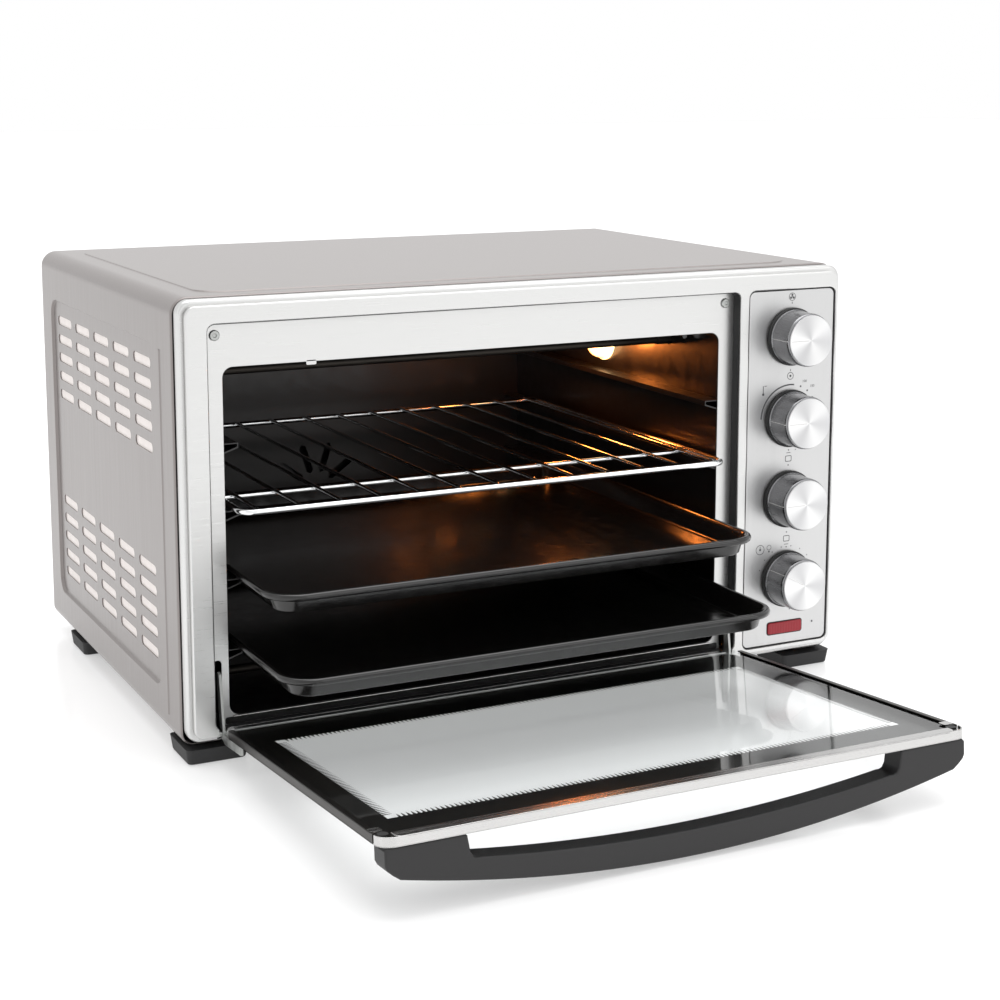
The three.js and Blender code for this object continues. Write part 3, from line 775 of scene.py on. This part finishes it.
# ---- bezel and panels --------------------------------------------------------------------
frame_low, frame_high = span("cavity_front_frame")
panel_low, panel_high = span("control_panel")
RECESS = (frame_low.x - 0.3, frame_high.x + 0.3, frame_low.z - 0.3, frame_high.z + 0.3)
HEIGHT = (bezel_high.z - bezel_low.z) / MM
DEPTH = (bezel_high.y - bezel_low.y) / MM
HALF = (bezel_high.x - bezel_low.x) / MM / 2
ARM_X = [(span("hinge_arm_" + side)[0].x + span("hinge_arm_" + side)[1].x) / 2
         for side in ("left", "right")]


def arm_notches(v0, v1):
    """The room through the front that each hinge arm swings in."""
    return [(x - 3.2, x + 3.2, v0, v1, -2, 20) for x in ARM_X]


def build_bezel():
    """A stepped front: a rolled outer flange, a fine groove, then the flat face, with a notch for
    each hinge arm."""
    notches = arm_notches(1.4, RECESS[2] + 3)
    recess = rounded(RECESS[0], RECESS[1], RECESS[2], RECESS[3], 6)
    window = rounded(panel_low.x - 1.1, panel_high.x + 1.1, panel_low.z - 1.1, panel_high.z + 1.1, 6)
    face = rounded(-HALF + 4.2, HALF - 4.2, 4.2, HEIGHT - 4.2, 8)
    meshes = [cut(slab([face, recess, window], 0, 4.6, 1.1, 4), notches),
              cut(slab([rounded(-HALF, HALF, 0, HEIGHT, 10.5), recess, window], 5.4, DEPTH, 2.4, 5),
                  notches)]
    front_piece("bezel_band", join_meshes(meshes), STEEL_FACE, ["front_bezel"], 30)
    # Painted shadow: a dark neck in the groove behind the face and a dark ring behind the gap to the
    # case stand in for the shade in these gaps.
    shade_neck = cut(slab([rounded(-HALF + 6, HALF - 6, 6, HEIGHT - 6, 7), recess, window], 4.2, 6), notches)
    shade_ring = cut(slab([rounded(-HALF + 0.2, HALF - 0.2, 0.2, HEIGHT - 0.2, 10.5),
                     rounded(-HALF + 5, HALF - 5, 5, HEIGHT - 5, 7)], DEPTH - 0.6, DEPTH + 1.2),
               notches)
    front_piece("bezel_painted_shadow_gap", join_meshes([shade_neck, shade_ring]), DARK_TRIM_AND_SHADE)
    # Painted shade: black walls lining the recess round the cavity frame stand in for the shade in the
    # gap between frame and bezel.
    inner = rounded(RECESS[0] + 0.5, RECESS[1] - 0.5, RECESS[2] + 0.5, RECESS[3] - 0.5, 5.5)
    liner = cut(slab([rounded(RECESS[0] + 0.02, RECESS[1] - 0.02, RECESS[2] + 0.02, RECESS[3] - 0.02,
                              6), inner], 1.6, frame_low.y - 0.1), notches)
    front_piece("recess_painted_shade_liner", liner, BLACK_RUBBER_AND_SHADE)
    # Painted shadow: a black ring just behind the fascia's edge stands in for the shade in the gap round
    # it.
    rim = slab([rounded(panel_low.x - 1.0, panel_high.x + 1.0, panel_low.z - 1.0, panel_high.z + 1.0, 6),
                rounded(panel_low.x + 2, panel_high.x - 2, panel_low.z + 2, panel_high.z - 2, 4)],
               panel_low.y + 1.6, panel_low.y + 2.2)
    front_piece("fascia_painted_shadow_gap", rim, BLACK_RUBBER_AND_SHADE)


def cavity_opening(shrink, corner):
    """The oven's mouth, 429 mm by 265 mm, drawn in by shrink on every side."""
    return rounded(CENTRE - 214.5 + shrink, CENTRE + 214.5 - shrink, 16 + shrink, 281 - shrink, corner)


def build_cavity_frame():
    low, high = frame_low, frame_high
    opening = cavity_opening(0, 8)
    outline = rounded(low.x, high.x, low.z, high.z, 5.5)
    slots = [rounded(x - 3.2, x + 3.2, 14, 60, 3.1) for x in ARM_X]
    plate = cut(slab([outline, opening, *slots], low.y, high.y, 0.25, 2), arm_notches(low.z - 2, 18))
    clip = slab([rounded(CENTRE - 149, CENTRE - 141, 278.5, 282, 1)], low.y, high.y)
    front_piece("cavity_frame_plate", join_meshes([plate, clip]), STEEL_FACE, ["cavity_front_frame"],
                30)
    mouth = slab([rounded(CENTRE - 219, CENTRE + 219, 12, 285.5, 9), cavity_opening(0.3, 8)],
                 high.y + 0.05, high.y + 0.5)
    front_piece("cavity_mouth_gasket", mouth, ENAMEL_CAVITY)
    rod = wire([(CENTRE - 212, low.y - 0.5, 15.4), (CENTRE + 212, low.y - 0.5, 15.4)], 0.8)
    piece("sill_rod", rod, DATUM, STEEL_TRIM)
    sill = slab([rounded(CENTRE - 218, CENTRE + 218, low.z + 0.4, 15.0, 1.5, 3)],
                low.y - 0.5, low.y + 0.1, 0.2)
    front_piece("sill_strip", sill, ENAMEL_CAVITY)
    for side in ("left", "right"):
        screw_low, screw_high = span("frame_screw_" + side)
        middle = (screw_low + screw_high) / 2
        head = turned([(0, 0), (3.6, 0), (4.0, 0.5), (3.4, 1.1), (1.6, 1.2), (1.2, 0.6), (0, 0.5)], 28)
        head.transform(Matrix.Translation((middle.x, screw_high.y, middle.z)) @ FRONT
                       @ Matrix.Scale(-1, 4, (0, 0, 1)))
        piece("frame_screw_head_" + side, head, DATUM, ZINC, replaces=["frame_screw_" + side])


KNOB_ROWS = [(joint["pos_m"][2] - datum.z) / MM for joint in
             (JOINTS[name + "_knob_turn"] for name in ("convection", "thermostat", "heater", "timer"))]
KNOB_X = (JOINTS["timer_knob_turn"]["pos_m"][0] - datum.x) / MM
lens_low, lens_high = span("indicator_lens")


def build_control_panel():
    low, high = panel_low, panel_high
    outline = rounded(low.x, high.x, low.z, high.z, 5)
    holes = [ring(KNOB_X, z, 5) for z in KNOB_ROWS]
    holes.append(rounded(lens_low.x - 0.3, lens_high.x + 0.3, lens_low.z - 0.3, lens_high.z + 0.3, 2))
    face = slab([outline, *holes], low.y, low.y + 1.4, 0.5, 3)
    rim = slab([outline, rounded(low.x + 1, high.x - 1, low.z + 1, high.z - 1, 4)], low.y + 1, high.y)
    front_piece("control_fascia", join_meshes([face, rim]), STEEL_PANEL, ["control_panel"],
                30)
    lens = slab([rounded(lens_low.x, lens_high.x, lens_low.z, lens_high.z, 2)], lens_low.y,
                lens_high.y, 0.8, 4)
    front_piece("indicator_window", lens, RED_LENS, ["indicator_lens"])
    dress("indicator_holder", BLACK_RUBBER_AND_SHADE)
    surround = slab([rounded(lens_low.x - 0.9, lens_high.x + 0.9, lens_low.z - 0.9,
                             lens_high.z + 0.9, 2.6),
                     rounded(lens_low.x + 0.3, lens_high.x - 0.3, lens_low.z + 0.3,
                             lens_high.z - 0.3, 1.8)],
                    low.y - 0.15, low.y + 0.2)
    front_piece("indicator_surround", surround, BLACK_RUBBER_AND_SHADE)


build_bezel()
build_cavity_frame()
build_control_panel()


# ---- printed marks round the knobs -------------------------------------------------------
INK_Y = panel_low.y  # the fascia's face


def mark(loops):
    mesh = slab(loops, INK_Y - 0.06, INK_Y + 0.1)
    mesh.transform(FRONT)
    return mesh


def bar(u, v, length, height):
    return mark([rounded(u - length / 2, u + length / 2, v - height / 2, v + height / 2,
                         min(length, height) * 0.3, 3)])


def dot(u, v, radius):
    return mark([ring(u, v, radius, 20)])


def hoop(u, v, radius, line):
    return mark([ring(u, v, radius, 36), ring(u, v, radius - line, 36)])


def arc_mark(u, v, radius, line, start, end):
    """An arc band; angles in degrees anticlockwise from the right."""
    steps = 40
    angles = [math.radians(start + (end - start) * i / steps) for i in range(steps + 1)]
    outer = [(u + radius * math.cos(a), v + radius * math.sin(a)) for a in angles]
    inner = [(u + (radius - line) * math.cos(a), v + (radius - line) * math.sin(a)) for a in angles]
    return mark([outer + inner[::-1]])


def frame_box(u, v, half_u, half_v, line):
    return mark([rounded(u - half_u, u + half_u, v - half_v, v + half_v, 1.0, 3),
                 rounded(u - half_u + line, u + half_u - line, v - half_v + line, v + half_v - line,
                         0.7, 3)])


def fan_mark(u, v, size):
    petals = [dot(u + size * 0.45 * math.cos(a), v + size * 0.45 * math.sin(a), size * 0.3)
              for a in (math.radians(90 + 120 * i) for i in range(3))]
    return petals + [hoop(u, v, size, 0.5), dot(u, v, size * 0.14)]


def digits(text, u, v, size):
    """Generic scale numbers, cut from flat type."""
    curve = bpy.data.curves.new("digits", "FONT")
    curve.body = text
    curve.size = size
    curve.align_x = "CENTER"
    curve.align_y = "CENTER"
    curve.extrude = 0.08
    holder = bpy.data.objects.new("digits", curve)
    mesh = bpy.data.meshes.new_from_object(holder)
    mesh.transform(Matrix.Translation((u, v, INK_Y + 0.02)))
    mesh.transform(FRONT)
    bpy.data.objects.remove(holder)
    return mesh


def build_marks():
    x = KNOB_X
    first, second, third, fourth = KNOB_ROWS
    marks = []
    marks += fan_mark(x, first + 33.5, 3.4) + [bar(x, first + 28.4, 0.6, 1.8)]
    marks += [hoop(x, first - 33.5, 3.2, 0.5), dot(x, first - 33.5, 1.0), bar(x, first - 28.6, 0.6, 1.8)]
    marks.append(arc_mark(x, second, 29.2, 1.2, 82, 178))
    for angle, number in ((68, "100"), (52, "150")):
        a = math.radians(angle)
        marks.append(dot(x + 28.5 * math.cos(a), second + 28.5 * math.sin(a), 0.8))
        marks.append(digits(number, x + 33 * math.cos(a) + 2.2, second + 33 * math.sin(a), 3.0))
    for angle in range(36, -91, -16):
        a = math.radians(angle)
        marks.append(dot(x + 28.5 * math.cos(a), second + 28.5 * math.sin(a), 0.45))
    marks += [bar(x - 27.0, second + 26.0, 0.7, 6.5), dot(x - 27.0, second + 22.0, 1.1),
              bar(x - 24.6, second + 29.0, 2.6, 0.5)]
    for z, sign in ((third, 1), (third, -1)):
        v = z + sign * 34.7
        marks += [frame_box(x, v, 3.2, 2.6, 0.55), bar(x, v + sign * 5.0, 4.2, 0.5),
                  dot(x, v - sign * 5.6, 0.6), dot(x, v + sign * 7.4, 0.6)]
    marks += [hoop(x - 26.5, fourth + 27.5, 4.3, 0.5), dot(x - 26.5, fourth + 27.5, 1.0),
              bar(x - 26.5, fourth + 29.2, 0.5, 2.6)]
    marks += [hoop(x - 17.5, fourth + 28.7, 2.3, 0.4), bar(x - 17.5, fourth + 25.2, 1.6, 1.3)]
    for i in range(13):
        a = math.radians(160 - 20 * i)
        marks.append(dot(x + 28.2 * math.cos(a), fourth + 28.2 * math.sin(a), 0.5))
    marks.append(dot(268.5, 24.5, 0.9))
    piece("printed_marks", join_meshes(marks), DATUM, INK)


build_marks()


# ---- knobs -------------------------------------------------------------------------------
POINTERS = {"convection": 180, "thermostat": 180, "heater": 180, "timer": 152}


def build_knob(name, z):
    """A knob turned about Y: black foot ring, smoked skirt with a pointer line, spun face."""
    centre = datum + Vector((KNOB_X, 0, z)) * MM
    place = Matrix.Translation(centre) @ Matrix.Scale(MM, 4) @ FRONT
    low, high = span(name + "_knob")
    cap_low, _ = span(name + "_knob_cap")
    back, front = high.y, low.y
    foot = turned([(19, back), (24.2, back), (24.4, back - 0.4), (24.4, back - 2.4), (23.9, back - 3.0),
                   (19, back - 3.0)][::-1] + [(19, back)], 96)
    body = name + "_knob"
    piece(name + "_knob_foot", foot, place, BLACK_RUBBER_AND_SHADE, body, origin=centre)
    skirt_profile = [(0.0, back - 2.6), (23.2, back - 2.6), (23.4, back - 3.2), (23.2, back - 4.2),
                     (22.7, back - 4.6), (22.4, back - 8), (22.3, front + 2.6), (22.1, front + 1.3),
                     (21.6, front + 0.5), (20.9, front + 0.2), (0.0, front + 0.2)]
    skirt = turned(skirt_profile, 96)
    piece(name + "_knob_skirt", skirt, place, SKIRT, body, replaces=[name + "_knob"],
          origin=centre)
    cap_profile = [(0.0, front + 0.4), (20.9, front + 0.4), (21.0, cap_low.y + 0.5),
                   (20.6, cap_low.y + 0.1), (20.2, cap_low.y), (19.9, cap_low.y + 0.08),
                   (10.0, cap_low.y + 0.12), (0.0, cap_low.y + 0.15)]
    piece(name + "_knob_face", turned(cap_profile, 96), place, SPUN, body,
          replaces=[name + "_knob_cap"], origin=centre)
    # Pointer: a bright inlay down the skirt and a fine scribed line on the face.
    angle = math.radians(POINTERS[name])
    rib = slab([rounded(21.6, 22.75, -0.45, 0.45, 0.3, 3)], front + 1.2, back - 4.8, 0.1)
    rib.transform(Matrix.Rotation(angle, 4, "Z"))
    line = slab([rounded(2.5, 19.6, -0.25, 0.25, 0.2, 3)], cap_low.y - 0.02, cap_low.y + 0.3)
    line.transform(Matrix.Rotation(angle, 4, "Z"))
    piece(name + "_knob_pointer", join_meshes([rib, line]), place, STEEL_TRIM, body,
          origin=centre)


for knob_name, knob_z in zip(POINTERS, KNOB_ROWS):
    build_knob(knob_name, knob_z)


# ---- cavity ------------------------------------------------------------------------------
for node in ("cavity_left_wall", "cavity_right_wall"):
    dress(node, ENAMEL_CAVITY, 0.35, 2)
for node in ("cavity_roof", "cavity_floor", "cavity_rear_wall"):
    dress(node, ENAMEL_CAVITY)
for node in ("thermostat", "convection_switch", "heater_switch", "timer", "terminal_block",
             "lamp_socket"):
    dress(node, CERAMIC, 1.0)
for node in ("hinge_pin_left", "hinge_pin_right"):
    dress(node, ZINC)
for node in ("fan_motor", "heat_shield", "fan_impeller"):
    dress(node, ENAMEL_CAVITY)
dress("thermostat_probe", CHROME)
dress("lamp_bulb", LIT_BULB, 2.0, 3)


def build_heaters():
    for name in ("upper_front", "upper_rear", "lower_front", "lower_rear"):
        low, high = span(name + "_heater")
        y, z = (low.y + high.y) / 2, (low.z + high.z) / 2
        ends = 16
        path = [(low.x + (high.x - low.x) * i / 24, y, z) for i in range(25)]
        tube = wire(path, 3.6, False, 20)
        sleeves = [wire([(low.x + 6, y, z), (low.x + 6 + ends, y, z)], 4.3, False, 20),
                   wire([(high.x - 6 - ends, y, z), (high.x - 6, y, z)], 4.3, False, 20)]
        piece(name + "_heater_tube", tube, DATUM, SHEATH, replaces=[name + "_heater"])
        piece(name + "_heater_sleeves", join_meshes(sleeves), DATUM, SHEATH)


def build_lamp_dome():
    low, high = span("lamp_lens")
    middle = (low + high) / 2
    deep = high.x - low.x
    profile = [(19.4, deep), (19.5, deep - 1.6), (18.2, deep - 2.4), (17.4, deep - 4), (16.6, deep - 8),
               (14.6, deep - 11.4), (11, deep - 13.6), (6, deep - 14.7), (0, deep - 14.95)]
    inner = [(r - 1.6 if r > 2 else 0, w + 1.5) for r, w in reversed(profile[3:])]
    mesh = turned(profile + inner + [(14.8, deep)], 56)
    turn = Matrix(((0, 0, 1, 0), (1, 0, 0, 0), (0, 1, 0, 0), (0, 0, 0, 1)))
    mesh.transform(Matrix.Translation((low.x, middle.y, middle.z)) @ turn)
    piece("lamp_dome", mesh, DATUM, LIT_DOME, replaces=["lamp_lens"])


build_heaters()
build_lamp_dome()


# ---- rack --------------------------------------------------------------------------------
def build_rack():
    """Chrome wire rack: thick closed frame, a brace, and cross wires that turn down in front."""
    low, high = span("wire_rack")
    heavy, light = 2.5, 1.6
    z = low.z + heavy
    loop = [(u, v, z) for u, v in rounded(low.x + heavy, high.x - heavy, low.y + heavy,
                                          high.y - heavy, 11, 8)]
    meshes = [wire(loop, heavy, True, 14)]
    brace_y = low.y + 59.7
    meshes.append(wire([(low.x + 3, brace_y, z - 0.3), (high.x - 3, brace_y, z - 0.3)], 1.9))
    first, last, count = low.x + 14, high.x - 14, 13
    level = high.z - light
    for i in range(count):
        x = first + (last - first) * i / (count - 1)
        path = [(x, low.y + 0.9 + light, z - 0.6), (x, low.y + 1.1 + light, z + 1.4),
                (x, low.y + 2.8 + light, level)]
        path += [(x, y, level) for y in (low.y + 8, brace_y, (low.y + high.y) / 2, high.y - 2.4)]
        meshes.append(wire(path, light, False, 10))
    piece("rack_wires", join_meshes(meshes), DATUM, CHROME, "wire_rack", replaces=["wire_rack"],
          sharp=50)


# ---- trays -------------------------------------------------------------------------------
def build_tray(name):
    """Pressed steel pan: round corners, sloping sides and an edge rolled over a wire."""
    low, high = span(name)
    rim = 2.75
    steps = 12

    def outline(inset, z, radius):
        box = rounded(low.x + inset, high.x - inset, low.y + inset, high.y - inset, radius, 8)
        return [(u, v, z) for u, v in box]

    base, top = low.z, high.z
    rings = [outline(14, base, 13), outline(10.8, base + 0.2, 16), outline(9.4, base + 1.4, 17.5)]
    rings.append(outline(2 * rim + 1.2, top - 2 * rim + 0.4, 20.5))
    for i in range(steps + 1):
        a = math.radians(-110 + 260 * i / steps)
        inset = rim - rim * math.cos(a)
        rings.append(outline(inset, top - rim + rim * math.sin(a), 27 - inset))
    rings.append(outline(2 * rim + 2.2, top - rim - 1.2, 20))
    rings += [outline(11.0, base + 3.4, 17), outline(12.6, base + 1.6, 15.5),
              outline(16, base + 1.1, 12)]
    piece(name + "_pan", stack(rings), DATUM, ENAMEL_TRAY, name, replaces=[name],
          sharp=40)


build_rack()
for tray_name in ("baking_tray", "lower_tray"):
    build_tray(tray_name)


# ---- door --------------------------------------------------------------------------------
# Drawn shut: u across from the door's middle, v up from the hinge axis, w towards the oven.
DOOR = (-225.0, 225.0, 5.0, 307.5)
GLASS_W = (2.0, 6.0)


def door_piece(name, mesh, material, replaces=(), sharp=30):
    mesh.transform(FRONT)
    return piece(name, mesh, door_place, material, "door", replaces, sharp)


def toothed(u0, u1, v0, v1, pitch, depth):
    """A rectangle whose edge is a row of small round-backed teeth, about one pitch apart."""
    points = []
    corners = [(u0, v0), (u1, v0), (u1, v1), (u0, v1)]
    for i, (a, b) in enumerate(zip(corners, corners[1:] + corners[:1])):
        length = math.hypot(b[0] - a[0], b[1] - a[1])
        count = round(length / pitch)
        along = ((b[0] - a[0]) / length, (b[1] - a[1]) / length)
        inward = (-along[1], along[0])
        points.append(a)
        for k in range(2, count - 2):
            for share, rise in ((0.2, 0), (0.47, depth), (0.53, depth), (0.8, 0)):
                d = (k + share) * length / count
                points.append((a[0] + along[0] * d + inward[0] * rise,
                               a[1] + along[1] * d + inward[1] * rise))
    return points


def build_door_glass():
    pane = slab([rounded(-223.7, 223.7, DOOR[2], 304, 8)], *GLASS_W, 0.5, 3)
    door_piece("door_pane", pane, DOOR_GLASS, ["door_glass"])
    window = toothed(-199, 203, 47, 257, 3.4, 6.5)
    border = slab([rounded(-223.2, 223.2, 5.6, 303.4, 7.6), window], 1.86, 1.94)
    door_piece("door_frit_border", border, FRIT)


def above(loop, floor):
    """An outline with all that lies under a level drawn up to it."""
    return [(u, max(v, floor)) for u, v in loop]


def build_door_trims():
    outline = rounded(-225, 225, DOOR[3] - 60, DOOR[3], 11)
    band = slab([above(outline, DOOR[3] - 12.5)], 0.7, 1.6, 0.25, 2)
    lip = slab([above(rounded(-214, 214, 200, DOOR[3], 6), DOOR[3] - 10)], 6.35, 7.3, 0.3, 3)
    rim_outer = [p for p in outline if p[1] > DOOR[3] - 12.5]
    rim_inner = [p for p in rounded(-223.7, 223.7, 200, DOOR[3] - 1.3, 9.7) if p[1] > DOOR[3] - 12.5]
    edge = slab([rim_outer + rim_inner[::-1]], 0.7, 7.3, 0.35, 3)
    door_piece("door_top_channel", join_meshes([band, lip, edge]), STEEL_TRIM, ["door_top_trim"])
    for side, sign in (("left", -1), ("right", 1)):
        u0, u1 = sorted((sign * 220.8, sign * 225))
        e0, e1 = sorted((sign * 223.9, sign * 225))
        strip = slab([rounded(u0, u1, 18.8, DOOR[3] - 14.5, 1.5, 4)], 6.35, 7.3, 0.3, 3)
        edge = slab([[(e0, 18.8), (e1, 18.8), (e1, DOOR[3] - 13), (e0, DOOR[3] - 13)]], 0.7, 7.2, 0.2)
        under = slab([rounded(u0, u1, 18.8, DOOR[3] - 13, 1, 3)], 0.7, 1.6, 0.2)
        door_piece("door_side_channel_" + side, join_meshes([strip, edge, under]), DARK_TRIM_AND_SHADE,
                   ["door_side_trim_" + side])
        plug_u = sign * 218.6
        plug = slab([rounded(plug_u - 3.6, plug_u + 3.6, DOOR[3] - 15.5, DOOR[3] - 8.4, 3, 5)],
                    6.2, 6.9, 0.25)
        door_piece("door_corner_plug_" + side, plug, BLACK_RUBBER_AND_SHADE, ())
        c0, c1 = sorted((sign * 216.5, sign * 224.6))
        cap = slab([rounded(c0, c1, DOOR[3] - 24, DOOR[3] - 16.2, 2, 4)], 7.2, 7.32, 0.05)
        door_piece("door_corner_cap_" + side, cap, STEEL_TRIM, ())


def build_handle():
    """Bow handle: two posts and a bar that swells towards the middle, with softened edges."""
    half, depth, end_depth, grip, wall = 222.0, 44.0, 19.0, 162.0, 18.0
    off = 0.4
    outer = []
    for i in range(41):
        u = -half + 10 + (2 * half - 20) * i / 40
        outer.append((u, off - (depth - (depth - end_depth) * (u / half) ** 2)))
    left_round = [(-half, off - 2), (-half, off - 11.5), (-half + 1.5, off - 14.5),
                  (-half + 5, off - 17.6)]
    right_round = [(-u, w) for u, w in reversed(left_round)]
    inner = []
    for i in range(33):
        u = grip - 5 - 2 * (grip - 5) * i / 32
        inner.append((u, off - (depth - wall - 10.5 * (u / grip) ** 2)))
    right_post = [(half - 2, off), (grip + 6, off), (grip + 4.2, off - 1.2), (grip + 2.4, off - 12),
                  (grip + 0.5, off - 15.2), (grip - 2, off - 16.2)]
    left_post = [(-u, w) for u, w in reversed(right_post)]
    loop = left_round + outer + right_round + right_post + inner + left_post
    top = DOOR[3] - 1
    mesh = slab([loop], top - 18.5, top, 1.6, 4)
    # The outline lies in u and w, its thickness along v.
    mesh.transform(Matrix(((1, 0, 0, 0), (0, 0, 1, 0), (0, 1, 0, 0), (0, 0, 0, 1))))
    door_piece("bow_handle", mesh, ABS_HANDLE, ["door_handle"], 40)


build_door_glass()
build_door_trims()
build_handle()
dress("door_bottom_rail", ZINC, 0.3)
for side in ("left", "right"):
    dress("hinge_arm_" + side, ZINC, 0.3)


# ---- stage -------------------------------------------------------------------------------
def make_stage():
    """A wide table of white acrylic, faintly lit from below, and the light of a white studio."""
    mesh = mesh_of([(-12, -12, 0), (12, -12, 0), (12, 14, 0), (-12, 14, 0)], [[0, 1, 2, 3]])
    floor = bpy.data.objects.new("floor", mesh)
    floor.location = (0, 0, cad_low.z - 0.0004)
    material, tree, surface = new_material("opal_acrylic_table", "#D0D0D0", 0.16)
    cloud = grain(tree, 400.0)
    tint(tree, cloud, "#CFCFCF", "#D3D3D3", surface)
    surface.inputs["Emission Color"].default_value = linear("#FFFFFF")
    surface.inputs["Emission Strength"].default_value = 0.42
    mesh.materials.append(material)
    bpy.context.scene.collection.objects.link(floor)

    world = bpy.data.worlds.new("studio")
    world.use_nodes = True
    bpy.context.scene.world = world
    background = world.node_tree.nodes["Background"]
    background.inputs["Strength"].default_value = 1.0
    background.inputs["Color"].default_value = linear("#FFFFFF")


def soft_light(name, position, target, size, power, color="#FFFFFF"):
    data = bpy.data.lights.new(name, "AREA")
    data.shape = "RECTANGLE"
    data.size, data.size_y = size
    data.energy = power
    data.color = linear(color)[:3]
    light = bpy.data.objects.new(name, data)
    light.location = position
    aim = Vector(target) - Vector(position)
    light.rotation_euler = aim.to_track_quat("-Z", "Y").to_euler()
    bpy.context.scene.collection.objects.link(light)


def point_light(name, position, radius, power, color):
    data = bpy.data.lights.new(name, "POINT")
    data.energy = power
    data.color = linear(color)[:3]
    data.shadow_soft_size = radius
    light = bpy.data.objects.new(name, data)
    light.location = position
    bpy.context.scene.collection.objects.link(light)


def make_lights():
    middle = (cad_low + cad_high) / 2
    soft_light("overhead_softbox", (0.2, 0.1, 2.4), middle, (2.6, 2.2), 42)
    soft_light("front_softbox", (1.3, -2.2, 1.2), middle, (1.8, 1.4), 8)
    soft_light("left_softbox", (-2.2, -0.4, 1.0), middle, (1.2, 1.4), 2)
    low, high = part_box("lamp_lens")
    # The lamp's light, from 30 mm in front of its dome, so that it reaches the wall round it.
    point_light("cavity_lamp", Vector((low.x - 0.03, (low.y + high.y) / 2, (low.z + high.z) / 2)),
                0.012, 0.3, "#FF8A3A")


make_stage()
make_lights()
